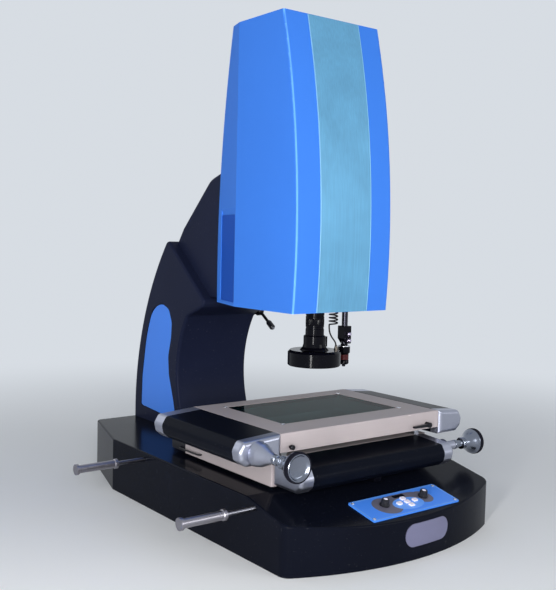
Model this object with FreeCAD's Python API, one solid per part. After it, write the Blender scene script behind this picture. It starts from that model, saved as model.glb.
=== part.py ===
import FreeCAD, Part
import math
import os

# Vision measuring machine: a stage that travels in X and Y on a heavy base, and a lens
# with a ring light that travels in Z inside a tall cover on a column.
# Millimetres. The origin is on the floor under the lens axis, +X to the right seen from
# the front, +Y to the back, +Z up.

V = FreeCAD.Vector
X = V(1, 0, 0)
Y = V(0, 1, 0)
Z = V(0, 0, 1)

# Travel
travel_x = 300.0

# Clearances
running_gap = 0.05      # shaft in its bearing, on the radius
sliding_gap = 0.5       # rail in its bearing block
panel_gap = 0.3         # loose pieces beside each other
cover_gap = 1.5         # sheet covers beside castings

# Base
base_half_width = 288.0
base_top = 124.0
base_side_front = -270.0
base_front = -340.0
base_side_back = 412.0
base_back = 641.0
base_back_half = 220.0
base_corner_radius = 26.0
base_edge_radius = 4.0
apron_start = -147.0
apron_angle = 12.0
foot_radius = 30.0
foot_depth = 6.0
foot_inset = 60.0

# Carrying rods
rod_height = 108.0
rod_front_y = -178.0
rod_back_y = 257.0
rod_radius = 5.0
rod_thread_depth = 30.0
rod_reach = 167.0
grip_radius = 9.0
grip_length = 100.0
grip_collar_radius = 12.0
grip_collar_length = 6.0

# Column and its arm
column_half = 107.0
column_foot_front = 372.0
column_waist_y = 413.0
column_waist_z = 318.0
column_throat_top_y = 372.0
column_throat_top_z = 423.0
column_nose_y = 285.0
column_nose_z = 458.0
column_kink_y = 475.0
column_kink_z = 615.0
column_back_mid_y = 600.0
column_back_mid_z = 390.0
column_edge_radius = 7.0
column_corner_radius = 14.0
arm_half = 82.0
arm_front = 95.0
arm_bottom = 476.0
arm_bend_y = 439.0
arm_bend_z = 644.0
arm_shoulder_y = 316.0
arm_shoulder_z = 763.0
arm_crown_y = 260.0
arm_top = 782.0
inset_depth = 4.0
inset_thickness = 3.0

# Head cover
head_half = 136.0
head_bottom = 467.0
head_top = 1100.0
head_front_bottom = -89.0
head_front_top = -35.0
head_front_bow = 27.0     # how far the front bows out past a straight line
head_seam = 125.0
head_wall = 3.0
head_edge_radius = 6.0
head_back_bottom = 256.0
head_back_top = 166.0
head_back_bow = 31.4
chamfer_run = 0.315     # how far the rear cover narrows for each millimetre back
recess_top = 675.0
recess_depth = 4.0
recess_lip = 15.0       # height of the sloped lip over the recess
recess_near = 4.0
recess_far = 112.0
recess_foot = 8.0
strip_half = 71.0
strip_thickness = 1.5

# Z slide
back_plate_half = 65.0
back_plate_thickness = 23.0
back_plate_top = 1060.0
cover_bracket_levels = [496.0, 790.0, 1036.0]
z_rail_spread = 45.0
rail_width = 15.0
rail_height = 12.0
block_width = 34.0
block_height = 18.0
block_length = 46.0
z_rest = 640.0          # height of the carriage's middle
z_block_spread = 62.0
carriage_half = 62.0
carriage_thickness = 12.0
carriage_height = 180.0
lens_clamp_radius = 33.0
lens_clamp_height = 26.0

# Lens, camera and ring light
lens_radius = 21.0
lens_bottom = 358.0
lens_top = 700.0
zoom_ring_radius = 24.0
zoom_ring_low = 505.0
zoom_ring_height = 26.0
camera_width = 50.0
camera_height = 64.0
ring_radius = 60.0
ring_bottom = 340.0
ring_height = 35.0
ring_inner = 30.0
diffuser_thickness = 3.0
adapter_radius = 25.0
adapter_top = 408.0
cable_radius = 1.75
coil_radius = 11.0
coil_x = 33.0
coil_y = -25.0
coil_low = 430.0
coil_high = 520.0
cable_foot_x = 46.0
cable_foot_y = -22.0

# Laser pointer
laser_x = 92.0
laser_y = 2.0
laser_rod_radius = 7.0
laser_rod_low = 378.0
laser_rod_high = 600.0
laser_clamp_width = 23.0
laser_clamp_depth = 21.0
laser_clamp_low = 384.0
laser_clamp_high = 425.0
laser_head_radius = 14.0
laser_head_low = 363.0
laser_body_radius = 11.5
laser_body_low = 335.0
laser_body_high = 380.0
laser_tip_radius = 4.0
laser_tip_low = 330.0
laser_arm_low = 575.0
laser_arm_height = 20.0
thumb_radius = 5.0
thumb_shank_radius = 2.0
thumb_length = 11.0
thumb_upper_z = 407.0
thumb_lower_z = 392.0

# Stage, X and Y
stage_length = 450.0
stage_depth = 318.0
stage_top = 245.0
stage_thickness = 38.0
stage_x = -6.0
stage_y = -20.0
stage_edge_radius = 2.5
glass_length = 330.0
glass_depth = 204.0
glass_offset = 12.0
glass_thickness = 8.0
glass_ledge = 6.0
glass_corner = 8.0

bed_thickness = 6.5
bed_half_length = 190.0
bed_half_depth = 146.0
lower_front = -147.0
lower_back = 179.0
lower_half = 220.0
lower_top = 188.0
lower_bottom = 131.5
lower_web = 26.0
lower_skirt = 12.0
light_window_length = 330.0
light_window_depth = 84.0
x_rail_spread = 100.0
x_block_spread = 26.0
y_rail_spread = 190.0
y_block_spread = 35.0
y_block_length = 24.0
y_rail_height = 9.0

# Drive covers on the stage: the section is u outwards from the plate, w upwards
cover_height = 54.0
cover_depth = 91.0
cover_ridge_u = 80.0
cover_ridge_w = 48.0
cover_nose_w = 30.0
cover_bend_u = 87.0
cover_bend_w = 12.0
cover_floor_u = 72.0
cover_wall = 3.0
cap_length = 40.0
front_cap_length = 26.0
x_cap_length = 31.0
x_cover_half = 186.0
left_cover_extra = 9.0  # how much deeper the left cover is than the front one
right_cover_trim = 13.0
x_cover_low = 134.0
y_cover_front = -158.0
y_cover_back = 104.0
shaft_u = 57.0
x_shaft_w = 34.0
y_shaft_w = 24.0
shaft_radius = 6.0
nut_half = 11.0
nut_width = 20.0
slot_margin = 4.0

# Handwheels
boss_radius = 25.0
boss_length = 53.0
x_boss_length = 32.0
neck_radius = 9.0
neck_length = 24.0
wheel_radius = 26.0
tyre_radius = 29.0
tyre_width = 18.0
hub_radius = 13.0
hub_length = 28.0
dish_depth = 5.0

# Bottom light
light_radius = 36.0
light_depth = 70.0
light_glass_radius = 26.0
light_glass_thickness = 4.0

# Control panel
panel_width = 244.0
panel_depth = 78.0
panel_thickness = 3.0
panel_x = 10.0
panel_y = -284.0
panel_corner = 4.0
knob_radius = 10.5
knob_height = 15.0
knob_spread = 55.0
knob_y = 3.0
key_size = 12.0
key_height = 3.0
key_travel = 1.0
key_pocket_floor = 0.4
key_step_x = 22.0
key_step_y = 13.0
key_shift_x = 3.0
key_shift_y = -3.0
window_length = 31.0
window_depth = 10.0
window_depth_cut = 1.0
window_y = 23.0

# Front label plate
label_length = 124.0
label_x = 20.0
label_height = 46.0
label_z = 50.0
label_thickness = 1.5

# Star handle
handle_y = 388.0
handle_z = 430.0
handle_shaft_radius = 7.0
handle_shaft_depth = 58.0
handle_hub_radius = 15.0
handle_hub_length = 18.0
handle_stand_off = 14.0
handle_reach = 78.0
spoke_radius = 4.0
handle_grip_radius = 7.5
handle_grip_length = 30.0
handle_angle = -145.5

# Small fittings
lock_lever_x = 181.0
lock_knob_x = -207.0
lock_z = 217.0
lock_pivot_radius = 6.0
lock_pivot_length = 12.0
lock_lever_length = 50.0
lock_knob_radius = 5.0
lock_knob_length = 12.0
rear_box_length = 60.0
rear_box_width = 64.0
rear_box_height = 32.0
rear_cable_radius = 2.0
rear_cable_run = 84.0
inlet_width = 48.0
inlet_height = 28.0
inlet_x = -120.0
inlet_z = 62.0
switch_x = -60.0
rocker_pin_radius = 1.5
rocker_tilt = 8.0
scale_width = 12.0
scale_height = 9.0
reader_length = 30.0
y_scale_gap = 1.5

apron_tan = math.tan(math.radians(apron_angle))
stage_bottom = stage_top - stage_thickness
left_side = stage_x - stage_length / 2
y_cover_low = stage_top - cover_height
y_shaft_x = left_side - shaft_u
y_shaft_z = y_cover_low + y_shaft_w
x_shaft_y = lower_front - shaft_u
x_shaft_z = x_cover_low + x_shaft_w
bed_top = base_top + bed_thickness
web_bottom = lower_top - lower_web


# Building blocks

def box(x0, x1, y0, y1, z0, z1):
    return Part.makeBox(x1 - x0, y1 - y0, z1 - z0, V(x0, y0, z0))


def rod(radius, start, axis, length):
    return Part.makeCylinder(radius, length, start, axis)


def rounded_wire(corners, radii, place):
    """Closed outline of straight runs joined by tangent arcs of the given radii."""
    count = len(corners)
    joins = []
    for i in range(count):
        here = V(corners[i][0], corners[i][1], 0)
        before = V(corners[i - 1][0], corners[i - 1][1], 0) - here
        after = V(corners[(i + 1) % count][0], corners[(i + 1) % count][1], 0) - here
        if radii[i] <= 0:
            joins.append([here])
            continue
        half = before.getAngle(after) / 2
        back = radii[i] / math.tan(half)
        before.normalize()
        after.normalize()
        bisector = before + after
        bisector.normalize()
        centre = here + bisector * (radii[i] / math.sin(half))
        joins.append([here + before * back, centre - bisector * radii[i], here + after * back])
    edges = []
    for i in range(count):
        join = joins[i]
        if len(join) == 3:
            edges.append(Part.Arc(*[place(p.x, p.y) for p in join]).toShape())
        start = join[-1]
        end = joins[(i + 1) % count][0]
        if (end - start).Length > 1e-6:
            edges.append(Part.LineSegment(place(start.x, start.y), place(end.x, end.y)).toShape())
    return Part.Wire(edges)


def plan(x, y):
    return V(x, y, 0)


def side(y, z):
    return V(0, y, z)


def prism(corners, radii, place, start, length):
    """Extrude an outline along the direction that it lies across."""
    face = Part.Face(rounded_wire(corners, radii, place))
    face.translate(start)
    return face.extrude(length)


def turned(steps, start, axis):
    """Solid of revolution: steps are (radius, distance along the axis)."""
    corners = [V(0, 0, steps[0][1])]
    corners += [V(r, 0, h) for r, h in steps]
    corners += [V(0, 0, steps[-1][1])]
    wire = Part.makePolygon(corners + [corners[0]])
    solid = Part.Face(wire).revolve(V(0, 0, 0), Z, 360)
    solid.Placement = FreeCAD.Placement(start, FreeCAD.Rotation(Z, axis))
    return solid


def soften(solid, radius, wanted):
    """Round the edges whose middle point passes the test."""
    edges = [e for e in solid.Edges if wanted(e.CenterOfMass, e)]
    return solid.makeFillet(radius, edges)


def mirrored(solid, centre_x=0.0):
    return solid.mirror(V(centre_x, 0, 0), X)


def group(solids):
    return Part.makeCompound(solids)


def upright(edge):
    box_of_edge = edge.BoundBox
    return box_of_edge.ZLength > 10 and box_of_edge.XLength < 0.01 and box_of_edge.YLength < 0.01


def on_apron(solid):
    """Move a piece from the flat onto the base's sloped apron, at the control panel."""
    solid = solid.copy()
    solid.rotate(V(0, 0, 0), X, apron_angle)
    drop = (apron_start - panel_y) * apron_tan
    solid.translate(V(panel_x, panel_y, base_top - drop))
    return solid


# Base and what is fixed to it

def base_outline():
    corner = base_half_width
    lines = [
        Part.LineSegment(V(-corner, base_side_front, 0), V(-corner, base_side_back, 0)),
        Part.LineSegment(V(-corner, base_side_back, 0), V(-base_back_half, base_back, 0)),
        Part.LineSegment(V(-base_back_half, base_back, 0), V(base_back_half, base_back, 0)),
        Part.LineSegment(V(base_back_half, base_back, 0), V(corner, base_side_back, 0)),
        Part.LineSegment(V(corner, base_side_back, 0), V(corner, base_side_front, 0)),
        Part.Arc(V(corner, base_side_front, 0), V(0, base_front, 0), V(-corner, base_side_front, 0)),
    ]
    return Part.Wire([line.toShape() for line in lines])


def front_radius():
    rise = base_side_front - base_front
    return (base_half_width ** 2 + rise ** 2) / (2 * rise)


def foot_places():
    reach = base_half_width - foot_inset
    back = base_back_half - foot_inset / 2
    front = base_side_front + foot_inset
    rear = base_back - foot_inset
    return [V(-reach, front, 0), V(reach, front, 0), V(-back, rear, 0), V(back, rear, 0)]


def rod_places():
    return [(rod_front_y, rod_height), (rod_back_y, rod_height)]


def base():
    face = Part.Face(base_outline())
    body = face.extrude(V(0, 0, base_top))
    body = soften(body, base_corner_radius,
                  lambda c, e: upright(e) and c.y < base_side_front + 1)
    body = soften(body, base_corner_radius / 2,
                  lambda c, e: upright(e) and c.y > base_side_back - 1)
    beyond = base_front - 20
    drop = (apron_start - beyond) * apron_tan
    apron = prism([(apron_start, base_top), (beyond, base_top - drop), (beyond, base_top + 1),
                   (apron_start, base_top + 1)],
                  [0, 0, 0, 0], side, V(-base_half_width - 1, 0, 0), V(2 * base_half_width + 2, 0, 0))
    body = body.cut(apron)
    low_lip = base_top - (apron_start - base_front) * apron_tan - 2
    body = soften(body, base_edge_radius,
                  lambda c, e: c.z > low_lip and not upright(e) and not on_crease(e))
    for place in foot_places():
        body = body.cut(rod(foot_radius + panel_gap, place, Z, foot_depth))
    body = body.cut(rod(light_radius + panel_gap, V(0, 0, base_top - light_depth), Z, light_depth))
    for y, z in rod_places():
        for turn in (-1, 1):
            body = body.cut(rod(rod_radius, V(turn * base_half_width, y, z), X * -turn,
                                rod_thread_depth))
    body = body.cut(box(inlet_x - inlet_width / 2, inlet_x + inlet_width / 2, base_back - 30,
                        base_back + 1, inlet_z - inlet_height / 2, inlet_z + inlet_height / 2))
    body = body.cut(box(switch_x - 10, switch_x + 10, base_back - 24, base_back + 1,
                        inlet_z - 14, inlet_z + 14))
    return body


def on_crease(edge):
    box_of_edge = edge.BoundBox
    return box_of_edge.XLength > 300 and abs(box_of_edge.YMin - apron_start) < 1


def rubber_feet():
    return group([rod(foot_radius, place, Z, foot_depth) for place in foot_places()])


def carry_rods():
    rods = []
    for y, z in rod_places():
        rods.append(rod(rod_radius - running_gap, V(-base_half_width + rod_thread_depth - 1, y, z),
                        X * -1, rod_thread_depth - 1 + rod_reach))
    return group(rods)


def rod_grips():
    grips = []
    bore = rod_radius
    for y, z in rod_places():
        end = V(-base_half_width - rod_reach - 2, y, z)
        steps = [(grip_collar_radius, 0), (grip_collar_radius, grip_collar_length),
                 (grip_radius, grip_collar_length + 2), (grip_radius, grip_length - 8),
                 (grip_collar_radius - 1, grip_length - 6), (grip_collar_radius - 1, grip_length)]
        sleeve = turned(steps, end, X)
        grips.append(sleeve.cut(rod(bore, end + X * 2, X, grip_length)))
    return group(grips)


def bottom_light():
    low = base_top - light_depth
    top = bed_top - 1
    ring = rod(light_radius, V(0, 0, low), Z, top - low)
    ring = ring.cut(rod(light_glass_radius, V(0, 0, top - light_glass_thickness), Z,
                        light_glass_thickness))
    return ring.cut(rod(light_glass_radius - 3, V(0, 0, low + 8), Z, light_depth))


def bottom_light_glass():
    top = bed_top - 1
    return rod(light_glass_radius, V(0, 0, top - light_glass_thickness), Z, light_glass_thickness)


def power_inlet():
    body = box(inlet_x - inlet_width / 2, inlet_x + inlet_width / 2, base_back - 30, base_back,
               inlet_z - inlet_height / 2, inlet_z + inlet_height / 2)
    socket = box(inlet_x - 12, inlet_x + 12, base_back - 18, base_back + 5, inlet_z - 9, inlet_z + 9)
    flange = box(inlet_x - inlet_width / 2 - 4, inlet_x + inlet_width / 2 + 4, base_back,
                 base_back + 3, inlet_z - inlet_height / 2 - 3, inlet_z + inlet_height / 2 + 3)
    pins = [box(inlet_x + x - 1, inlet_x + x + 1, base_back - 18, base_back - 3, inlet_z + z - 2.5,
                inlet_z + z + 2.5) for x, z in ((-7, -2), (0, 3), (7, -2))]
    return body.fuse(flange).cut(socket).fuse(pins)


def rocker_frame():
    body = box(switch_x - 10, switch_x + 10, base_back - 24, base_back, inlet_z - 14, inlet_z + 14)
    flange = box(switch_x - 13, switch_x + 13, base_back, base_back + 2.5, inlet_z - 17, inlet_z + 17)
    hole = box(switch_x - 7, switch_x + 7, base_back - 14, base_back + 5, inlet_z - 11, inlet_z + 11)
    pin_hole = rod(rocker_pin_radius + running_gap, V(switch_x - 9, base_back - 5, inlet_z), X, 18)
    return body.fuse(flange).cut(hole).cut(pin_hole)


def rocker_switch():
    """Rocker tilted off its middle, on a pin across the frame."""
    pivot = base_back - 5
    face = prism([(pivot - 4, inlet_z - 3), (pivot - 4, inlet_z + 3), (pivot + 7, inlet_z + 9.5),
                  (pivot + 5, inlet_z), (pivot + 7, inlet_z - 9.5)], [1, 1, 1, 0, 1], side,
                 V(switch_x - 6.5, 0, 0), V(13, 0, 0))
    face.rotate(V(0, pivot, inlet_z), X, rocker_tilt)
    return face.fuse(rod(rocker_pin_radius, V(switch_x - 8.8, pivot, inlet_z), X, 17.6))


# Column

def column():
    wide = [
        Part.LineSegment(side(column_foot_front, base_top), side(base_back, base_top)),
        Part.LineSegment(side(base_back, base_top), side(base_back, base_top + 30)),
        Part.Arc(side(base_back, base_top + 30), side(column_back_mid_y, column_back_mid_z),
                 side(column_kink_y, column_kink_z)),
        Part.LineSegment(side(column_kink_y, column_kink_z), side(column_nose_y, column_nose_z)),
        Part.LineSegment(side(column_nose_y, column_nose_z),
                         side(column_throat_top_y, column_throat_top_z)),
        Part.Arc(side(column_throat_top_y, column_throat_top_z), side(column_waist_y, column_waist_z),
                 side(column_foot_front, base_top)),
    ]
    face = Part.Face(Part.Wire([edge.toShape() for edge in wide]))
    face.translate(V(-column_half, 0, 0))
    body = face.extrude(V(2 * column_half, 0, 0))
    body = soften(body, column_corner_radius,
                  lambda c, e: e.BoundBox.XLength > column_half and c.z > base_top + 40)
    body = soften(body, column_edge_radius,
                  lambda c, e: abs(abs(c.x) - column_half) < 0.1 and c.z > base_top + 5)
    arm = prism([(arm_front, arm_bottom), (column_nose_y + 40, arm_bottom),
                 (column_throat_top_y + 60, column_throat_top_z + 40),
                 (column_kink_y - 6, column_kink_z - 12), (arm_bend_y, arm_bend_z),
                 (arm_shoulder_y, arm_shoulder_z), (arm_crown_y, arm_top), (arm_front, arm_top)],
                [0, 0, 0, 0, 30, 60, 30, 0], side, V(-arm_half, 0, 0), V(2 * arm_half, 0, 0))
    arm = soften(arm, column_edge_radius,
                 lambda c, e: abs(abs(c.x) - arm_half) < 0.1 and c.z > column_nose_z + 150
                 and c.y > head_seam)
    body = body.fuse(arm)
    for turn in (-1, 1):
        recess = inset_shape(0.0, inset_depth + 1)
        recess.translate(V(column_half - inset_depth, 0, 0))
        body = body.cut(recess if turn > 0 else mirrored(recess))
    bore = handle_shaft_radius + running_gap
    return body.cut(rod(bore, V(column_half - 60, handle_y, handle_z), X, 60 + handle_hub_length))


def inset_shape(gap, depth):
    """Tall inset in the column's side, following its back and its throat."""
    corners = [(500, 447), (548, 428), (578, 360), (600, 240), (603, 160), (419, 148), (434, 200),
               (457, 262), (462, 310), (449, 360), (446, 400), (462, 434)]
    radii = [20, 40, 60, 60, 8, 6, 40, 40, 40, 40, 25, 20]
    wire = rounded_wire(corners, radii, side)
    face = Part.Face(wire)
    if gap > 0:
        face = face.makeOffset2D(-gap)
    return face.extrude(V(depth, 0, 0))


def side_inset(turn):
    plate = inset_shape(panel_gap, inset_thickness)
    plate.translate(V(column_half - inset_depth, 0, 0))
    return plate if turn > 0 else mirrored(plate)


# Head cover

def head_middle():
    return (head_bottom + head_top) / 2


def head_front_arc(shift):
    """Bowed front of the head, moved outwards by shift."""
    middle = (head_front_bottom + head_front_top) / 2 - head_front_bow
    arc = Part.Arc(side(head_front_bottom, head_bottom), side(middle, head_middle()),
                   side(head_front_top, head_top))
    circle = arc.toShape().Curve
    centre = circle.Center
    radius = circle.Radius + shift

    def at(z):
        return side(centre.y - math.sqrt(radius ** 2 - (z - centre.z) ** 2), z)
    return at


def front_curve(shift, low, high):
    at = head_front_arc(shift)
    return Part.Arc(at(low), at((low + high) / 2), at(high)).toShape()


def head_side_face(shift, low, high, back):
    at = head_front_arc(-shift)
    return Part.Face(Part.Wire([
        front_curve(-shift, low, high),
        Part.LineSegment(at(high), side(back, high)).toShape(),
        Part.LineSegment(side(back, high), side(back, low)).toShape(),
        Part.LineSegment(side(back, low), at(low)).toShape()]))


def head_cover():
    outer = head_side_face(0, head_bottom, head_top, head_seam)
    outer.translate(V(-head_half, 0, 0))
    shell = outer.extrude(V(2 * head_half, 0, 0))
    shell = soften(shell, head_edge_radius,
                   lambda c, e: c.y < 0 and e.BoundBox.ZLength > 300 and abs(c.x) > head_half - 1)
    inner_half = head_half - head_wall
    inner = head_side_face(head_wall, head_bottom - 1, head_top - head_wall, head_seam + 1)
    inner.translate(V(-inner_half, 0, 0))
    return shell.cut(inner.extrude(V(2 * inner_half, 0, 0)))


def rear_side_face(shift, low, high, front):
    back_low = head_back_bottom - shift
    back_top = head_back_top - shift
    back_mid = (back_low + back_top) / 2 + head_back_bow
    return Part.Face(Part.Wire([
        Part.LineSegment(side(front, low), side(back_low, low)).toShape(),
        Part.Arc(side(back_low, low), side(back_mid, (low + high) / 2), side(back_top, high)).toShape(),
        Part.LineSegment(side(back_top, high), side(front, high)).toShape(),
        Part.LineSegment(side(front, high), side(front, low)).toShape()]))


def chamfered_block(shift, low, high, front):
    """Rear body of the head, narrowing towards the back."""
    half = head_half - shift
    face = rear_side_face(shift, low, high, front)
    face.translate(V(-half, 0, 0))
    body = face.extrude(V(2 * half, 0, 0))
    reach = head_back_bottom + 2 * head_back_bow
    taper = (reach - head_seam) * chamfer_run
    for turn in (-1, 1):
        wedge = prism([(turn * half, head_seam), (turn * (half - taper), reach),
                       (turn * (half + 20), reach), (turn * (half + 20), head_seam)],
                      [0, 0, 0, 0], plan, V(0, 0, low - 1), V(0, 0, high - low + 2))
        body = body.cut(wedge)
    return body


def recess_face(gap):
    """Outline of the recessed panel on the rear cover's tapered side, in its own plane."""
    low = head_bottom + recess_foot + gap
    high = recess_top - gap
    near = recess_near + gap
    far = recess_far - gap
    return [(near, low), (far, low), (far, high), (near, high)]


def recess_slope():
    """What the sloped lip over the recess takes away."""
    beyond = recess_depth
    return prism([(-recess_depth, recess_top - 6), (beyond, recess_top - 6),
                  (beyond, recess_top + 2 * recess_lip), (-recess_depth, recess_top)],
                 [0, 0, 0, 0], lambda a, b: V(a, 0, b), V(0, recess_near, 0),
                 V(0, recess_far - recess_near, 0))


def on_taper(solid, turn):
    """Turn a piece made flat on the YZ plane onto the tapered side of the rear cover."""
    solid = solid.copy()
    solid.rotate(V(0, 0, 0), Z, math.degrees(math.atan(chamfer_run)))
    solid.translate(V(head_half, head_seam, 0))
    return solid if turn > 0 else mirrored(solid)


def rear_cover():
    outer = chamfered_block(0, head_bottom, head_top, head_seam)
    inner = chamfered_block(head_wall + recess_depth + 1, head_bottom - 1,
                            head_top - head_wall, head_seam - 1)
    shell = outer.cut(inner)
    beyond = head_back_bottom + 2 * head_back_bow
    shell = shell.cut(box(-arm_half - cover_gap, arm_half + cover_gap, head_seam - 1,
                          beyond, head_bottom - 1, arm_top + cover_gap))
    for turn in (-1, 1):
        window = prism(recess_face(0), [5, 5, 0, 0], side, V(-recess_depth, 0, 0),
                       V(recess_depth + 5, 0, 0))
        shell = shell.cut(on_taper(window.fuse(recess_slope()), turn))
    return shell


def rear_panel(turn):
    panel = prism(recess_face(panel_gap), [5, 5, 1, 1], side, V(-recess_depth, 0, 0), V(2, 0, 0))
    return on_taper(panel, turn)


def front_strip():
    low = head_bottom + 0.5
    high = head_top - 1
    outer_at = head_front_arc(strip_thickness)
    inner_at = head_front_arc(0)
    face = Part.Face(Part.Wire([
        front_curve(strip_thickness, low, high),
        Part.LineSegment(outer_at(high), inner_at(high)).toShape(),
        front_curve(0, low, high),
        Part.LineSegment(inner_at(low), outer_at(low)).toShape()]))
    face.translate(V(-strip_half, 0, 0))
    return face.extrude(V(2 * strip_half, 0, 0))


# Z slide

def back_plate():
    plate = box(-back_plate_half, back_plate_half, arm_front - back_plate_thickness, arm_front,
                arm_bottom + 4, back_plate_top)
    plate = soften(plate, 4, lambda c, e: e.BoundBox.YLength > 20)
    reach = head_half - head_wall
    return plate.fuse([box(-reach, reach, arm_front - 12, arm_front - 2, z, z + 14)
                       for z in cover_bracket_levels])


def z_rails():
    front = arm_front - back_plate_thickness
    rails = []
    for x in (-z_rail_spread, z_rail_spread):
        rails.append(grooved_rail(V(x, front, arm_bottom + 6), V(0, -1, 0), Z,
                                  back_plate_top - 16 - arm_bottom, rail_height))
    return group(rails)


def grooved_rail(start, out, along, length, height):
    """Profiled guide rail: a bar with a waist on both sides, standing out of its seat."""
    across = out.cross(along)
    waist = height * 0.5
    half = rail_width / 2
    points = [(-half, 0), (half, 0), (half, waist - 2.5), (half - 2, waist), (half, waist + 2.5),
              (half, height - 1), (half - 1, height), (1 - half, height), (-half, height - 1),
              (-half, waist + 2.5), (2 - half, waist), (-half, waist - 2.5)]
    corners = [start + across * a + out * b for a, b in points]
    return Part.Face(Part.makePolygon(corners + [corners[0]])).extrude(along * length)


def bearing_block(centre, out, along, rail_tall, block_tall, length):
    """Block that straddles a rail; centre is on the rail's seat, under the block's middle."""
    across = out.cross(along)
    half = block_width / 2
    inner = rail_width / 2 + sliding_gap
    low = 2.5
    top = block_tall
    roof = rail_tall + sliding_gap
    points = [(-half, low), (-half, top - 2), (2 - half, top), (half - 2, top), (half, top - 2),
              (half, low), (inner, low), (inner, roof), (-inner, roof), (-inner, low)]
    start = centre - along * (length / 2)
    corners = [start + across * a + out * b for a, b in points]
    return Part.Face(Part.makePolygon(corners + [corners[0]])).extrude(along * length)


def z_bearing_blocks():
    front = arm_front - back_plate_thickness
    blocks = []
    for x in (-z_rail_spread, z_rail_spread):
        for z in (z_rest - z_block_spread, z_rest + z_block_spread):
            blocks.append(bearing_block(V(x, front, z), V(0, -1, 0), Z, rail_height, block_height,
                                        block_length))
    return group(blocks)


def carriage_front():
    return arm_front - back_plate_thickness - block_height - carriage_thickness


def z_carriage():
    """Plate on the four blocks, with two clamps round the lens and an arm for the pointer."""
    front = carriage_front()
    plate = box(-carriage_half, carriage_half, front, front + carriage_thickness,
                z_rest - carriage_height / 2, z_rest + carriage_height / 2)
    body = soften(plate, 6, lambda c, e: e.BoundBox.YLength > 10)
    for z in (z_rest - carriage_height / 2 + 10, z_rest + 14):
        ring = rod(lens_clamp_radius, V(0, 0, z), Z, lens_clamp_height)
        web = box(-lens_clamp_radius * 0.8, lens_clamp_radius * 0.8, 0, front + 1, z,
                  z + lens_clamp_height)
        ears = box(-9, 9, -lens_clamp_radius - 8, 0, z, z + lens_clamp_height)
        body = body.fuse([ring, web, ears])
        body = body.cut(box(-1, 1, -lens_clamp_radius - 9, 0, z - 1, z + lens_clamp_height + 1))
    body = body.cut(rod(lens_radius, V(0, 0, z_rest - carriage_height), Z, 2 * carriage_height))
    beam = box(carriage_half - 20, laser_x + 14, front - 14, front, laser_arm_low,
               laser_arm_low + laser_arm_height)
    end = box(laser_x - 14, laser_x + 14, laser_y - 12, front, laser_arm_low,
              laser_arm_low + laser_arm_height)
    hook = box(coil_x - 6, coil_x + 6, coil_y - 8, front + 4, coil_high, coil_high + 4)
    drop = box(coil_x - 6, coil_x + 6, front, front + 4, coil_high,
               z_rest - carriage_height / 2 + 1)
    body = body.fuse([beam, end, hook, drop])
    return body.cut(rod(laser_rod_radius, V(laser_x, laser_y, laser_arm_low - 1), Z,
                        laser_arm_height + 2))


def zoom_lens():
    """Stepped barrel; the zoom ring turns in the groove that is left for it."""
    low = zoom_ring_low - 0.5
    high = zoom_ring_low + zoom_ring_height + 0.5
    steps = [(lens_radius - 2, lens_bottom), (lens_radius, lens_bottom + 3),
             (lens_radius, adapter_top + 14), (lens_radius - 1, adapter_top + 15),
             (lens_radius - 1, adapter_top + 19), (lens_radius, adapter_top + 20),
             (lens_radius, low), (lens_radius - 3, low), (lens_radius - 3, high),
             (lens_radius, high), (lens_radius, lens_top - 20), (lens_radius - 6, lens_top - 14),
             (lens_radius - 6, lens_top)]
    barrel = turned(steps, V(0, 0, 0), Z)
    return barrel.cut(rod(lens_radius - 6, V(0, 0, lens_bottom - 1), Z, 5))


def zoom_ring():
    """Knurled ring round the barrel."""
    steps = [(zoom_ring_radius - 1, zoom_ring_low), (zoom_ring_radius, zoom_ring_low + 1),
             (zoom_ring_radius, zoom_ring_low + zoom_ring_height - 1),
             (zoom_ring_radius - 1, zoom_ring_low + zoom_ring_height)]
    ring = turned(steps, V(0, 0, 0), Z)
    bore = rod(lens_radius - 3 + running_gap, V(0, 0, zoom_ring_low - 1), Z, zoom_ring_height + 2)
    return ring.cut(bore)


def camera():
    half = camera_width / 2
    body = box(-half, half, -half, half, lens_top, lens_top + camera_height)
    body = soften(body, 4, lambda c, e: e.BoundBox.ZLength > 20)
    socket = rod(6, V(0, half - 12, lens_top + camera_height), Z, 8)
    return body.fuse(socket)


def ring_light():
    top = ring_bottom + ring_height
    steps = [(ring_radius - 2, ring_bottom), (ring_radius, ring_bottom + 2), (ring_radius, top - 5),
             (ring_radius - 5, top)]
    body = turned(steps, V(0, 0, 0), Z).fuse(lens_collar())
    body = body.cut(rod(lens_radius, V(0, 0, ring_bottom - 1), Z, adapter_top))
    body = body.cut(Part.makeCone(ring_inner + 8, lens_radius + 2, 18, V(0, 0, ring_bottom - 0.01), Z))
    groove = rod(ring_radius - 6, V(0, 0, ring_bottom), Z, diffuser_thickness)
    groove = groove.cut(rod(ring_inner + 10, V(0, 0, ring_bottom), Z, diffuser_thickness))
    return body.cut(groove)


def ring_diffuser():
    plate = rod(ring_radius - 6, V(0, 0, ring_bottom), Z, diffuser_thickness)
    return plate.cut(rod(ring_inner + 10, V(0, 0, ring_bottom), Z, diffuser_thickness))


def lens_collar():
    """Collar that clamps the ring light onto the barrel, flared onto the ring."""
    low = ring_bottom + ring_height - 0.5
    steps = [(adapter_radius + 8, low), (adapter_radius + 7, low + 2), (adapter_radius + 2, low + 7),
             (adapter_radius, low + 14), (adapter_radius, adapter_top - 2),
             (adapter_radius - 2, adapter_top)]
    ear = box(adapter_radius - 6, adapter_radius + 8, -6, 6, low + 6, adapter_top - 4)
    return turned(steps, V(0, 0, 0), Z).fuse(ear)


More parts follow.
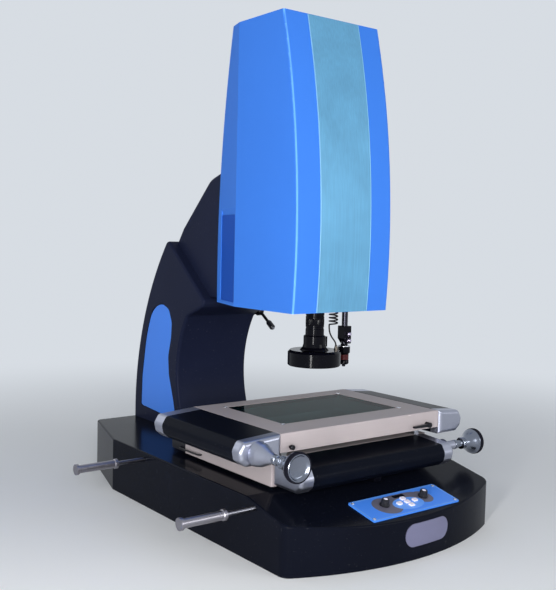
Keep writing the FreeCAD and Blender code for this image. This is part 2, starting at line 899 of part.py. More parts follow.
def cable_route():
    """Corner points of the cable from the ring light up to the coil beside the lens."""
    start = ring_bottom + ring_height
    return [V(cable_foot_x, cable_foot_y, start), V(cable_foot_x, cable_foot_y, start + 14),
            V(coil_x + 6, coil_y + 4, start + 26), V(coil_x, coil_y + 2, start + 38),
            V(coil_x, coil_y, coil_low - 9), V(coil_x, coil_y, coil_low)]


def tube_along(points, radius):
    """Straight runs joined by tangent arcs, as a solid tube."""
    edges = []
    start = points[0]
    radii = []
    for i in range(1, len(points) - 1):
        here = points[i]
        before = points[i - 1] - here
        after = points[i + 1] - here
        shorter = min(before.Length, after.Length)
        half = before.getAngle(after) / 2
        reach = 0.45 * shorter
        bend = reach * math.tan(half)
        radii.append(round(bend, 1))
        before.normalize()
        after.normalize()
        bisector = before + after
        bisector.normalize()
        first = here + before * reach
        last = here + after * reach
        middle = here + bisector * (bend / math.sin(half) - bend)
        edges.append(Part.LineSegment(start, first).toShape())
        edges.append(Part.Arc(first, middle, last).toShape())
        start = last
    edges.append(Part.LineSegment(start, points[-1]).toShape())
    path = Part.Wire(edges)
    direction = points[1] - points[0]
    ring = Part.Wire(Part.makeCircle(radius, points[0], direction))
    tube = path.makePipeShell([ring], True, False)
    print("cable bend radii", radii, "volume over section times length",
          round(tube.Volume / (math.pi * radius ** 2 * path.Length), 4))
    return tube


def ring_cable():
    return tube_along(cable_route(), cable_radius)


def cable_coil():
    """Outer shape of the curly stretch of the cable."""
    return rod(coil_radius, V(coil_x, coil_y, coil_low), Z, coil_high - coil_low)


# Laser pointer

def laser_rod():
    return rod(laser_rod_radius, V(laser_x, laser_y, laser_rod_low), Z, laser_rod_high - laser_rod_low)


def laser_clamp():
    """Block clamped on the rod, with a sloped lower corner and a seat for the pointer."""
    half = laser_clamp_width / 2
    low = laser_clamp_low
    high = laser_clamp_high
    body = prism([(laser_x - half, low + 12), (laser_x - half + 9, low), (laser_x + half, low),
                  (laser_x + half, high), (laser_x - half, high)], [2, 2, 2, 2, 2],
                 lambda a, b: V(a, 0, b), V(0, laser_y - laser_clamp_depth / 2, 0),
                 V(0, laser_clamp_depth, 0))
    body = body.cut(rod(laser_rod_radius, V(laser_x, laser_y, low - 1), Z, high))
    for z in (thumb_upper_z, thumb_lower_z):
        body = body.cut(rod(thumb_shank_radius + running_gap, V(laser_x, laser_y, z), Y * -1,
                            laser_clamp_depth))
    return body


def thumb_screw(z):
    """Knurled screw on the block's front that pinches the rod."""
    front = laser_y - laser_clamp_depth / 2
    steps = [(thumb_radius, 0.5), (thumb_radius, thumb_length - 4), (thumb_radius - 1.5, thumb_length - 3),
             (thumb_radius - 1.5, thumb_length)]
    head = turned(steps, V(laser_x, front, z), Y * -1)
    shank = rod(thumb_shank_radius, V(laser_x, laser_y - laser_rod_radius - panel_gap, z), Y * -1,
                laser_clamp_depth / 2 - laser_rod_radius + 1)
    return head.fuse(shank)


def laser_pointer():
    """Pointer on the rod's lower end, with its small nozzle."""
    low = laser_body_low
    high = laser_body_high
    steps = [(laser_tip_radius - 1, laser_tip_low), (laser_tip_radius, laser_tip_low + 1),
             (laser_tip_radius, low), (laser_body_radius - 4, low), (laser_body_radius, low + 3),
             (laser_body_radius, laser_head_low - 2), (laser_head_radius, laser_head_low),
             (laser_head_radius, high - 2), (laser_head_radius - 2, high),
             (laser_rod_radius + 1.5, high), (laser_rod_radius + 1.5, laser_clamp_low - 1)]
    return turned(steps, V(laser_x, laser_y, 0), Z).cut(
        rod(laser_rod_radius, V(laser_x, laser_y, laser_rod_low), Z, laser_rod_high))


# Star handle

def star_handle():
    """Shaft, hub and three spokes."""
    shaft = rod(handle_shaft_radius, V(column_half - handle_shaft_depth, handle_y, handle_z), X,
                handle_shaft_depth + handle_stand_off + 1)
    start = V(column_half + handle_stand_off, handle_y, handle_z)
    steps = [(handle_hub_radius - 3, 0), (handle_hub_radius, 3),
             (handle_hub_radius, handle_hub_length - 4), (handle_hub_radius - 5, handle_hub_length)]
    body = turned(steps, start, X).fuse(shaft)
    for direction in spoke_directions():
        body = body.fuse(rod(spoke_radius, start + X * (handle_hub_length / 2), direction,
                             handle_reach - handle_grip_length + 4))
    return body


def spoke_directions():
    return [V(0, math.cos(math.radians(handle_angle + turn)), math.sin(math.radians(handle_angle + turn)))
            for turn in (0, 120, 240)]


def handle_grips():
    middle = V(column_half + handle_stand_off + handle_hub_length / 2, handle_y, handle_z)
    grips = []
    for direction in spoke_directions():
        start = handle_reach - handle_grip_length
        steps = [(handle_grip_radius - 2.5, start), (handle_grip_radius, start + 6),
                 (handle_grip_radius, handle_reach - 4), (handle_grip_radius - 3, handle_reach)]
        grip = turned(steps, middle, direction)
        grips.append(grip.cut(rod(spoke_radius, middle, direction, start + 4)))
    return group(grips)


# Stage

def stage_bed():
    """Plate on the base that carries the four fixed X blocks, open over the bottom light."""
    plate = box(-bed_half_length, bed_half_length, -bed_half_depth, bed_half_depth, base_top, bed_top)
    plate = soften(plate, 6, lambda c, e: e.BoundBox.ZLength > 5)
    return plate.cut(rod(light_radius + panel_gap, V(0, 0, base_top - 1), Z, bed_thickness + 2))


def x_bearing_blocks():
    blocks = []
    for y in (-x_rail_spread, x_rail_spread):
        for x in (-x_block_spread, x_block_spread):
            tall = web_bottom - bed_top - 3
            centre = V(x, y, web_bottom)
            blocks.append(bearing_block(centre, V(0, 0, -1), X, rail_height, tall, block_length))
            blocks[-1] = blocks[-1].fuse(box(x - block_length / 2, x + block_length / 2,
                                             y - block_width / 2, y + block_width / 2,
                                             bed_top, web_bottom - tall + 2.5))
    return group(blocks + [x_reader()])


def x_rails():
    length = travel_x + 2 * x_block_spread + block_length + 2 * abs(stage_x)
    return group([grooved_rail(V(stage_x - length / 2, y, web_bottom), V(0, 0, -1), X, length,
                               rail_height) for y in (-x_rail_spread, x_rail_spread)])


def lower_plate():
    """Casting that travels in X: a web with skirts all round and a window for the light."""
    body = box(stage_x - lower_half, stage_x + lower_half, lower_front, lower_back, lower_bottom,
               lower_top)
    body = soften(body, 3, lambda c, e: e.BoundBox.ZLength > 20)
    hollow = box(stage_x - lower_half + lower_skirt, stage_x + lower_half - lower_skirt,
                 lower_front + lower_skirt, lower_back - lower_skirt, lower_bottom - 1, web_bottom)
    body = body.cut(hollow)
    window = prism([(stage_x - light_window_length / 2, -light_window_depth / 2),
                    (stage_x + light_window_length / 2, -light_window_depth / 2),
                    (stage_x + light_window_length / 2, light_window_depth / 2),
                    (stage_x - light_window_length / 2, light_window_depth / 2)],
                   [10, 10, 10, 10], plan, V(0, 0, web_bottom - 1), V(0, 0, lower_web + 2))
    return body.cut(window)


def y_rails():
    length = lower_back - lower_front
    return group([grooved_rail(V(stage_x + x, lower_front, lower_top), Z, Y, length,
                               y_rail_height) for x in (-y_rail_spread, y_rail_spread)])


def y_bearing_blocks():
    tall = stage_bottom - lower_top
    return group([bearing_block(V(stage_x + x, stage_y + y, lower_top), Z, Y, y_rail_height, tall,
                                y_block_length)
                  for x in (-y_rail_spread, y_rail_spread)
                  for y in (-y_block_spread, y_block_spread)] + [y_reader()])


def glass_corners(grow):
    half_x = glass_length / 2 + grow
    half_y = glass_depth / 2 + grow
    middle_y = stage_y + glass_offset
    return [(stage_x - half_x, middle_y - half_y), (stage_x + half_x, middle_y - half_y),
            (stage_x + half_x, middle_y + half_y), (stage_x - half_x, middle_y + half_y)]


def top_plate():
    """Plate that travels in Y, with a stepped aperture that holds the glass."""
    body = box(stage_x - stage_length / 2, stage_x + stage_length / 2, stage_y - stage_depth / 2,
               stage_y + stage_depth / 2, stage_bottom, stage_top)
    body = soften(body, stage_edge_radius, lambda c, e: c.z > stage_top - 1)
    rounds = [glass_corner] * 4
    seat = prism(glass_corners(panel_gap), rounds, plan, V(0, 0, stage_top - glass_thickness),
                 V(0, 0, glass_thickness + 1))
    through = prism(glass_corners(-glass_ledge), rounds, plan, V(0, 0, stage_bottom - 1),
                    V(0, 0, stage_thickness + 2))
    body = body.cut(seat).cut(through)
    for x, turn in ((lock_lever_x, 1), (lock_knob_x, -1)):
        body = body.cut(rod(2 + running_gap, V(x, stage_y - stage_depth / 2 - 1, lock_z), Y, 16))
    return body


def stage_glass():
    return prism(glass_corners(0), [glass_corner] * 4, plan, V(0, 0, stage_top - glass_thickness),
                 V(0, 0, glass_thickness - 0.5))


def cover_corners(inset, extra):
    """Section of a drive cover: flat to the plate, sloped on top, rounded outside."""
    w = cover_wall if inset else 0.0
    slope = (cover_height - cover_ridge_w) / cover_ridge_u
    return [(w, w), (w, cover_height - w),
            (cover_ridge_u + extra - w * 0.6, cover_ridge_w - w + slope),
            (cover_depth + extra - w, cover_nose_w),
            (cover_bend_u + extra - w, cover_bend_w + w * 0.4),
            (cover_floor_u + extra - w * 0.4, w)]


def cover_prism(place, start, length, extra, inset=False):
    radii = [1, 1, 9, 14, 10, 8]
    return prism(cover_corners(inset, extra), radii, place, start, length)


def x_section(u, w):
    return V(0, lower_front - u, x_cover_low + w)


def left_section(u, w):
    return V(left_side - u, 0, y_cover_low + w)


def x_cover():
    """Hollow cover over the X drive, slotted underneath for the nut's bracket."""
    start = stage_x - x_cover_half
    length = 2 * x_cover_half
    body = cover_prism(x_section, X * start, X * length, 0.0)
    body = body.cut(cover_prism(x_section, X * (start - 1), X * (length + 2), 0.0, True))
    slot_near = lower_front - shaft_u + nut_half + slot_margin
    slot_far = lower_front - shaft_u - nut_half - slot_margin
    return body.cut(box(start + 8, start + length - 8, slot_far, slot_near, x_cover_low - 1,
                        x_cover_low + cover_wall + 1))


def y_covers():
    """Slotted cover over the Y drive on the left, plain cover on the right."""
    slot = box(left_side - cover_wall - 3, left_side + 1, y_cover_front + 4, y_cover_back - 4,
               y_cover_low - 1, y_cover_low + 16)
    left = y_cover_shell(left_cover_extra).cut(slot)
    return group([left, mirrored(y_cover_shell(-right_cover_trim), stage_x)])


def y_cover_shell(extra):
    length = y_cover_back - y_cover_front
    shell = cover_prism(left_section, Y * y_cover_front, Y * length, extra)
    return shell.cut(cover_prism(left_section, Y * (y_cover_front - 1), Y * (length + 2), extra, True))


def end_cap(place, start, direction, length, radius, extra):
    """Cast end of a drive cover: rounded outside, with a tongue inside the cover."""
    body = cover_prism(place, start, direction * length, extra)
    outer = start + direction * length
    body = soften(body, radius, lambda c, e: abs((c - outer).dot(direction)) < 0.1
                  and e.BoundBox.DiagonalLength > 3)
    tongue = prism([(cover_wall + 1, cover_wall + 8), (cover_wall + 1, cover_height - cover_wall - 1),
                    (cover_ridge_u + extra - 10, cover_ridge_w - cover_wall - 1),
                    (cover_bend_u + extra - 12, cover_bend_w + 8)], [1, 1, 4, 4], place,
                   start - direction * 5, direction * 6)
    return body.fuse(tongue)


def x_caps():
    left = end_cap(x_section, X * (stage_x - x_cover_half), X * -1, x_cap_length, 8, 0.0)
    right = end_cap(x_section, X * (stage_x + x_cover_half), X, x_cap_length, 8, 0.0)
    bore = shaft_radius + running_gap
    shaft_line = V(0, x_shaft_y, x_shaft_z)
    right = right.fuse(turned([(neck_radius + 8, 0), (neck_radius + 3, 8), (neck_radius + 1, 12),
                               (neck_radius + 1, x_boss_length)],
                              shaft_line + X * (stage_x + x_cover_half + x_cap_length), X))
    right = right.cut(rod(bore, shaft_line + X * (stage_x + x_cover_half - 10), X,
                          x_cap_length + x_boss_length + 20))
    left = left.cut(rod(bore, shaft_line + X * (stage_x - x_cover_half + 10), X * -1, 30))
    return group([left, right])


def y_end_caps(extra):
    return (end_cap(left_section, Y * y_cover_front, Y * -1, front_cap_length, 9, extra),
            end_cap(left_section, Y * y_cover_back, Y, cap_length, 10, extra))


def y_caps():
    """Four ends; the left ones carry the shaft."""
    front, back = y_end_caps(left_cover_extra)
    bore = shaft_radius + running_gap
    shaft_line = V(y_shaft_x, 0, y_shaft_z)
    boss_start = shaft_line + Y * (y_cover_front - front_cap_length + 2)
    plain = [mirrored(cap, stage_x) for cap in y_end_caps(-right_cover_trim)]
    boss = turned([(boss_radius - 2, 0), (boss_radius, 3), (boss_radius - 3, boss_length * 0.35),
                   (neck_radius + 4, boss_length * 0.75), (neck_radius, boss_length)],
                  boss_start, Y * -1)
    front = front.fuse(boss)
    front = front.cut(rod(bore, shaft_line + Y * (y_cover_front + 10), Y * -1,
                          front_cap_length + boss_length + 20))
    back = back.cut(rod(bore, shaft_line + Y * (y_cover_back - 10), Y, 30))
    return group([front, back] + plain)


def handwheel(start, axis):
    """Turned wheel: collar, flared back, and a dished face inside a raised rim."""
    steps = [(shaft_radius + 4, 0), (shaft_radius + 4, neck_length * 0.4),
             (shaft_radius + 2, neck_length * 0.5), (shaft_radius + 2, neck_length),
             (hub_radius, neck_length + 2), (hub_radius, neck_length + hub_length * 0.5),
             (wheel_radius - 5, neck_length + hub_length), (wheel_radius, neck_length + hub_length + 3),
             (wheel_radius, neck_length + hub_length + tyre_width + 3)]
    body = turned(steps, start, axis)
    face = neck_length + hub_length + tyre_width + 3
    dish = turned([(wheel_radius - 8, face - dish_depth), (wheel_radius - 3, face),
                   (wheel_radius - 3, face + 2)], start, axis)
    return body.cut(dish)


def handwheel_tyre(start, axis):
    low = neck_length + hub_length + 4
    steps = [(tyre_radius - 1.5, low), (tyre_radius, low + 1.5), (tyre_radius, low + tyre_width - 2.5),
             (tyre_radius - 1.5, low + tyre_width - 1)]
    ring = turned(steps, start, axis)
    return ring.cut(rod(wheel_radius, start, axis, 2 * low + tyre_width))


def x_wheel_start():
    return V(stage_x + x_cover_half + x_cap_length + x_boss_length + 1, x_shaft_y, x_shaft_z)


def y_wheel_start():
    return V(y_shaft_x, y_cover_front - front_cap_length + 2 - boss_length - 1, y_shaft_z)


def x_handwheel():
    """Wheel on its shaft, which runs the length of the cover."""
    start = stage_x - x_cover_half - 15
    shaft = rod(shaft_radius, V(start, x_shaft_y, x_shaft_z), X, x_wheel_start().x + 2 - start)
    return handwheel(x_wheel_start(), X).fuse(shaft)


def y_handwheel():
    start = y_cover_back + 15
    shaft = rod(shaft_radius, V(y_shaft_x, start, y_shaft_z), Y * -1, start - y_wheel_start().y + 2)
    return handwheel(y_wheel_start(), Y * -1).fuse(shaft)


def x_drive_nut():
    """Bracket on the bed's front edge that reaches under the plate's skirt and grips the X shaft."""
    half = nut_width / 2
    low = base_top + panel_gap
    block = box(-half, half, x_shaft_y - nut_half, x_shaft_y + nut_half, low, x_shaft_z + nut_half)
    body = block.fuse(box(-half, half, x_shaft_y, -bed_half_depth, low, bed_top))
    return body.cut(rod(shaft_radius + 2 * running_gap, V(-30, x_shaft_y, x_shaft_z), X, 60))


def y_drive_nut():
    """Bracket on the lower plate that reaches under the top plate and grips the Y shaft."""
    low = lower_top
    arm_low = y_cover_low + cover_wall + 1
    arm_high = stage_bottom - 2.5
    middle = -7.0
    foot = box(stage_x - lower_half, stage_x - lower_half + 8, middle - nut_half, middle + nut_half,
               low, arm_high)
    arm = box(y_shaft_x, stage_x - lower_half + 8, middle - nut_half, middle + nut_half, arm_low,
              arm_high)
    block = box(y_shaft_x - nut_half, y_shaft_x + nut_half, middle - nut_half, middle + nut_half,
                y_cover_low + cover_wall + 1, y_shaft_z + nut_half)
    body = foot.fuse([arm, block])
    return body.cut(rod(shaft_radius + 2 * running_gap, V(y_shaft_x, middle - 30, y_shaft_z), Y, 60))


def x_scale():
    """Linear scale under the lower plate, beside the rear rail."""
    length = travel_x + 60
    y = x_rail_spread + 30
    return box(stage_x - length / 2, stage_x + length / 2, y, y + scale_width,
               web_bottom - scale_height, web_bottom)


def x_reader():
    y = x_rail_spread + 30
    top = web_bottom - scale_height - 1
    return box(-reader_length / 2, reader_length / 2, y, y + scale_width, bed_top, top)


def y_scale():
    """Linear scale on the lower plate, inside the right rail."""
    x = stage_x + y_rail_spread + block_width / 2 + y_scale_gap
    return box(x, x + scale_width - 4, lower_front + 20, lower_back - 20, lower_top,
               lower_top + scale_height)


def y_reader():
    x = stage_x + y_rail_spread + block_width / 2 + y_scale_gap
    top = stage_bottom
    return box(x, x + scale_width - 4, stage_y - reader_length / 2, stage_y + reader_length / 2,
               lower_top + scale_height + 1, top)


def rear_box():
    """Box behind the lower plate where its cables gather."""
    left = stage_x - lower_half
    body = box(left, left + rear_box_width, lower_back, lower_back + rear_box_length,
               lower_bottom + 2, lower_bottom + 2 + rear_box_height)
    body = soften(body, 3, lambda c, e: c.z > lower_bottom + rear_box_height)
    return body.fuse(tube_along(rear_cable_points(), rear_cable_radius))


def rear_cable_points():
    """Short cable from the box's side round to the lower plate's side."""
    face = stage_x - lower_half
    out = face - rear_cable_radius - 5
    start = lower_back + 14
    end = start - rear_cable_run
    z = lower_bottom + 10
    return [V(face + 0.5, start, z), V(out, start, z), V(out, end, z), V(face, end, z)]


def lock_lever():
    """Clamp lever on the plate's front: a pivot boss and a thin arm."""
    front = stage_y - stage_depth / 2
    body = rod(lock_pivot_radius, V(lock_lever_x, front - 0.3, lock_z), Y * -1, lock_pivot_length)
    arm = prism([(lock_lever_x, lock_z - 3.5), (lock_lever_x, lock_z + 3.5),
                 (lock_lever_x - lock_lever_length, lock_z + 2),
                 (lock_lever_x - lock_lever_length, lock_z - 2)],
                [0, 0, 1.9, 1.9], lambda a, b: V(a, 0, b), V(0, front - lock_pivot_length, 0),
                V(0, 5, 0))
    pin = rod(2, V(lock_lever_x, front - 1, lock_z), Y, 14)
    return body.fuse([arm, pin])


def lock_knob():
    front = stage_y - stage_depth / 2
    steps = [(lock_knob_radius - 2, 0.3), (lock_knob_radius - 2, 4), (lock_knob_radius, 5),
             (lock_knob_radius, lock_knob_length - 1), (lock_knob_radius - 1, lock_knob_length)]
    knob = turned(steps, V(lock_knob_x, front, lock_z), Y * -1)
    return knob.fuse(rod(2, V(lock_knob_x, front - 1, lock_z), Y, 14))


# Control panel, made flat and then laid on the apron

def key_places():
    return {"key_middle": (0, 0), "key_left": (-1, 0), "key_right": (1, 0), "key_front": (0, -1),
            "key_back": (0, 1)}


def key_box(place, grow, low, high):
    x = key_shift_x + place[0] * key_step_x
    y = key_shift_y + place[1] * key_step_y
    half_x = key_size / 2 + grow
    half_y = key_size * 0.4 + grow
    return prism([(x - half_x, y - half_y), (x + half_x, y - half_y), (x + half_x, y + half_y),
                  (x - half_x, y + half_y)], [2 + grow] * 4, plan, V(0, 0, low), V(0, 0, high - low))


def knob_places():
    return {"knob_left": V(-knob_spread, knob_y, 0), "knob_right": V(knob_spread, knob_y, 0)}


def control_panel():
    half_x = panel_width / 2
    half_y = panel_depth / 2
    plate = prism([(-half_x, -half_y), (half_x, -half_y), (half_x, half_y), (-half_x, half_y)],
                  [panel_corner] * 4, plan, V(0, 0, 0), V(0, 0, panel_thickness))
    for place in key_places().values():
        plate = plate.cut(key_box(place, panel_gap, key_pocket_floor, panel_thickness + 1))
    for place in knob_places().values():
        plate = plate.cut(rod(3 + running_gap, place, Z, panel_thickness))
    window = box(key_shift_x - window_length / 2, key_shift_x + window_length / 2,
                 window_y - window_depth / 2, window_y + window_depth / 2,
                 panel_thickness - window_depth_cut, panel_thickness)
    return on_apron(plate.cut(window))


def panel_key(place):
    low = key_pocket_floor + key_travel + panel_gap / 2
    return on_apron(key_box(place, 0.0, low, panel_thickness + key_height))


def panel_knob(place):
    """Turned knob with a pointer ridge, on a spindle through the panel."""
    low = panel_thickness + 0.4
    steps = [(knob_radius, low), (knob_radius, low + 3), (knob_radius - 2, low + 4),
             (knob_radius - 2.5, low + knob_height - 1), (knob_radius - 3.5, low + knob_height)]
    body = turned(steps, place, Z)
    return on_apron(body.fuse(rod(3, place + Z * panel_gap, Z, panel_thickness + 1)))


def label_plate():
    """Plain plate with round ends, bent to the base's bowed front."""
    radius = front_radius()
    centre = V(0, base_front + radius, 0)
    ring = rod(radius + label_thickness, centre, Z, base_top).cut(rod(radius, centre, Z, base_top))
    half = label_length / 2
    tall = label_height / 2
    end = tall - 0.5
    outline = prism([(-half, label_z - tall), (half, label_z - tall), (half, label_z + tall),
                     (-half, label_z + tall)], [end] * 4, lambda a, b: V(a, 0, b),
                    V(label_x, base_front - 2 * label_thickness, 0), V(0, half, 0))
    return ring.common(outline)


def all_nodes():
    nodes = {
        "machine_base": base(),
        "rubber_feet": rubber_feet(),
        "carry_rods": carry_rods(),
        "rod_grips": rod_grips(),
        "bottom_light": bottom_light(),
        "bottom_light_glass": bottom_light_glass(),
        "power_inlet": group([power_inlet(), rocker_frame()]),
        "rocker_switch": rocker_switch(),
        "label_plate": label_plate(),
        "control_panel": control_panel(),
        "column": column(),
        "side_insets": group([side_inset(-1), side_inset(1)]),
        "head_cover": head_cover(),
        "front_strip": front_strip(),
        "rear_cover": rear_cover(),
        "rear_panels": group([rear_panel(-1), rear_panel(1)]),
        "z_rail_bed": group([back_plate(), z_rails()]),
        "z_bearing_blocks": z_bearing_blocks(),
        "z_carriage": z_carriage(),
        "zoom_lens": zoom_lens(),
        "zoom_ring": zoom_ring(),
        "video_camera": camera(),
        "ring_light": ring_light(),
        "ring_diffuser": ring_diffuser(),
        "ring_cable": ring_cable(),
        "cable_coil": cable_coil(),
        "laser_rod": laser_rod(),
        "laser_clamp": laser_clamp(),
        "upper_thumb_screw": thumb_screw(thumb_upper_z),
        "lower_thumb_screw": thumb_screw(thumb_lower_z),
        "laser_pointer": laser_pointer(),
        "star_handle": star_handle(),
        "handle_grips": handle_grips(),
        "stage_bed": stage_bed(),
        "x_bearings_and_reader": x_bearing_blocks(),
        "x_drive_nut": x_drive_nut(),
        "lower_plate": lower_plate(),
        "stage_rails_and_scales": group([x_rails(), y_rails(), x_scale(), y_scale()]),
        "y_drive_nut": y_drive_nut(),
        "x_cover": x_cover(),
        "x_cover_caps": x_caps(),
        "rear_box": rear_box(),
        "x_handwheel": x_handwheel(),
        "x_wheel_rim": handwheel_tyre(x_wheel_start(), X),
        "top_plate": top_plate(),
        "stage_glass": stage_glass(),
        "y_bearings_and_reader": y_bearing_blocks(),
        "y_covers": y_covers(),
        "y_cover_caps": y_caps(),
        "y_handwheel": y_handwheel(),
        "y_wheel_rim": handwheel_tyre(y_wheel_start(), Y * -1),
        "lock_lever": lock_lever(),
        "lock_knob": lock_knob(),
    }
    for name, place in key_places().items():
        nodes[name] = panel_key(place)
    for name, place in knob_places().items():
        nodes[name] = panel_knob(place)
    return nodes


os.makedirs("parts", exist_ok=True)
for name, shape in all_nodes().items():
    if not shape.isValid():
        print("not valid:", name)
    shape.exportStep("parts/" + name + ".step")
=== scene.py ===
import math

import bmesh
import bpy
import numpy as np
from mathutils import Matrix, Vector


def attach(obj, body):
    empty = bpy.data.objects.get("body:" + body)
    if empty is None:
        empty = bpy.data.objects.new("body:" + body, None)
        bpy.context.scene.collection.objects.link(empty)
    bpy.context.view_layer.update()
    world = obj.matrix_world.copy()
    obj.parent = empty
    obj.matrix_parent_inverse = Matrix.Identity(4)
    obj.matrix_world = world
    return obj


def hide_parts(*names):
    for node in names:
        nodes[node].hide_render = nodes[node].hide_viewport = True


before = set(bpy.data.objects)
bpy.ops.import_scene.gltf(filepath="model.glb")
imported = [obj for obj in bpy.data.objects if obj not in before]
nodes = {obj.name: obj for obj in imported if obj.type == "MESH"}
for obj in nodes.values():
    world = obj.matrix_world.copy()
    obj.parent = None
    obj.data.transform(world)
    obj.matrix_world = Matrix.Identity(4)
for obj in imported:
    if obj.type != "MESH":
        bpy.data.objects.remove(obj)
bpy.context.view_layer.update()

# Camera
# It stands in front and to the left of the machine, a little above the height of its middle.
CAMERA_PLACE = (-1.2531, -1.4842, 0.62285)
CAMERA_YAW = math.radians(37.6805)
CAMERA_PITCH = math.radians(-3.7273)
CAMERA_ROLL = math.radians(1.3082)
CAMERA_FOCAL_PIXELS = 865.97
PICTURE_HEIGHT_PIXELS = 590.0
SENSOR_WIDTH = 36.0
NEAREST_SEEN = 0.05


def camera_axes(yaw, pitch, roll):
    """Right, up and backward directions of a camera turned from +Y to +X, tilted and rolled."""
    ahead = np.array([math.sin(yaw) * math.cos(pitch), math.cos(yaw) * math.cos(pitch),
                      math.sin(pitch)])
    right = np.cross(ahead, (0.0, 0.0, 1.0))
    right /= np.linalg.norm(right)
    up = np.cross(right, ahead)
    rolled_right = math.cos(roll) * right + math.sin(roll) * up
    rolled_up = -math.sin(roll) * right + math.cos(roll) * up
    return np.array((rolled_right, rolled_up, -ahead))


camera = bpy.data.objects.new("camera", bpy.data.cameras.new("camera"))
bpy.context.scene.collection.objects.link(camera)
camera.data.sensor_width = SENSOR_WIDTH
camera.data.lens = CAMERA_FOCAL_PIXELS * SENSOR_WIDTH / PICTURE_HEIGHT_PIXELS
camera.data.clip_start = NEAREST_SEEN
turning = Matrix(camera_axes(CAMERA_YAW, CAMERA_PITCH, CAMERA_ROLL).T.tolist())
camera.matrix_world = Matrix.Translation(CAMERA_PLACE) @ turning.to_4x4()
bpy.context.scene.camera = camera
bpy.context.scene.view_settings.view_transform = "Standard"

# Studio light
# A broad soft lamp behind the camera, a wide one in front on the right, a weak one at the back,
# and a narrow upright one beside the camera that draws the thin highlights on round and folded
# edges.
MACHINE_MIDDLE = (0.0, 0.0, 0.5)
BACK_LAMP_AIM = (0.0, 0.2, 0.5)


def soft_lamp(name, place, target, size, watts):
    """Rectangular white lamp at place, facing target; size is across and upright, in metres."""
    lamp = bpy.data.objects.new(name, bpy.data.lights.new(name, "AREA"))
    lamp.data.shape = "RECTANGLE"
    lamp.data.size, lamp.data.size_y = size
    lamp.data.energy = watts
    bpy.context.scene.collection.objects.link(lamp)
    facing = (Vector(target) - Vector(place)).to_track_quat("-Z", "Y")
    lamp.matrix_world = Matrix.Translation(place) @ facing.to_matrix().to_4x4()


soft_lamp("key_lamp", (-1.6, -2.4, 0.85), MACHINE_MIDDLE, (1.2, 1.2), 36.0)
soft_lamp("front_lamp", (1.4, -2.9, 1.1), MACHINE_MIDDLE, (1.6, 1.0), 22.0)
soft_lamp("back_lamp", (-1.8, 2.4, 1.8), BACK_LAMP_AIM, (1.4, 1.4), 6.0)
soft_lamp("edge_lamp", (-1.62, -1.23, 0.5), MACHINE_MIDDLE, (0.16, 0.96), 24.0)

BACKDROP = (0.68, 0.72, 0.77, 1.0)
SKY_LIGHT = (0.84, 0.91, 1.0, 1.0)
SKY_STRENGTH = 0.36


def put(tree, kind, wires=(), **settings):
    """Add a shader node: settings are its properties, wires are inputs with a socket or a value."""
    added = tree.nodes.new("ShaderNode" + kind)
    for label, value in settings.items():
        setattr(added, label, value)
    for label, source in wires:
        if isinstance(source, bpy.types.NodeSocket):
            tree.links.new(source, added.inputs[label])
        else:
            added.inputs[label].default_value = source
    return added


def seen_rays(tree):
    """1 for a ray that shows the backdrop: from the camera, mirrored, or through glass."""
    path = put(tree, "LightPath")
    mirrored = put(tree, "Math", [(0, path.outputs["Is Camera Ray"]),
                                  (1, path.outputs["Is Glossy Ray"])], operation="MAXIMUM")
    return put(tree, "Math", [(0, mirrored.outputs[0]), (1, path.outputs["Is Transmission Ray"])],
               operation="MAXIMUM").outputs[0]


world = bpy.data.worlds.new("studio")
bpy.context.scene.world = world
world.use_nodes = True
sky = world.node_tree
sky.nodes.clear()
sky_light = put(sky, "Background", [("Color", SKY_LIGHT), ("Strength", SKY_STRENGTH)])
sky_seen = put(sky, "Background", [("Color", BACKDROP), ("Strength", 1.0)])
sky_mix = put(sky, "MixShader", [("Fac", seen_rays(sky)), (1, sky_light.outputs[0]),
                                 (2, sky_seen.outputs[0])])
put(sky, "OutputWorld", [("Surface", sky_mix.outputs[0])])

# Floor
# Pale and plain; it holds the machine's shadow, and fades into the backdrop further out.
FLOOR_REACH = 30.0
FLOOR_LEVEL = -0.0004
FLOOR_PAINT = (0.95, 0.95, 0.95, 1.0)
FLOOR_ROUGHNESS = 0.7
FLOOR_SHINE = 0.1
FADE_START = 0.7
FADE_END = 2.6


def mesh_piece(name, points, faces, body, smooth=True):
    """New piece from rows of points in metres and faces, riding on a body, its faces turned out."""
    mesh = bpy.data.meshes.new(name)
    mesh.from_pydata(np.asarray(points, float).reshape(-1, 3).tolist(), [],
                     [list(map(int, face)) for face in faces])
    shape = bmesh.new()
    shape.from_mesh(mesh)
    bmesh.ops.recalc_face_normals(shape, faces=shape.faces)
    shape.to_mesh(mesh)
    shape.free()
    mesh.polygons.foreach_set("use_smooth", np.full(len(mesh.polygons), smooth))
    mesh.update()
    piece = bpy.data.objects.new(name, mesh)
    bpy.context.scene.collection.objects.link(piece)
    if body:
        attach(piece, body)
    return piece


floor_corners = [(x * FLOOR_REACH, y * FLOOR_REACH, FLOOR_LEVEL)
                 for x, y in ((-1, -1), (1, -1), (1, 1), (-1, 1))]
floor = mesh_piece("floor", floor_corners, [(0, 1, 2, 3)], None, False)
floor_paint = bpy.data.materials.new("pale_floor")
floor_paint.use_nodes = True
floor_tree = floor_paint.node_tree
floor_shader = floor_tree.nodes["Principled BSDF"]
floor_shader.inputs["Base Color"].default_value = FLOOR_PAINT
floor_shader.inputs["Roughness"].default_value = FLOOR_ROUGHNESS
floor_shader.inputs["Specular IOR Level"].default_value = FLOOR_SHINE
from_middle = put(floor_tree, "VectorMath", [(0, put(floor_tree, "TexCoord").outputs["Object"])],
                  operation="LENGTH")
fade = put(floor_tree, "MapRange", [("Value", from_middle.outputs["Value"]),
                                    ("From Min", FADE_START), ("From Max", FADE_END)],
           interpolation_type="SMOOTHSTEP")
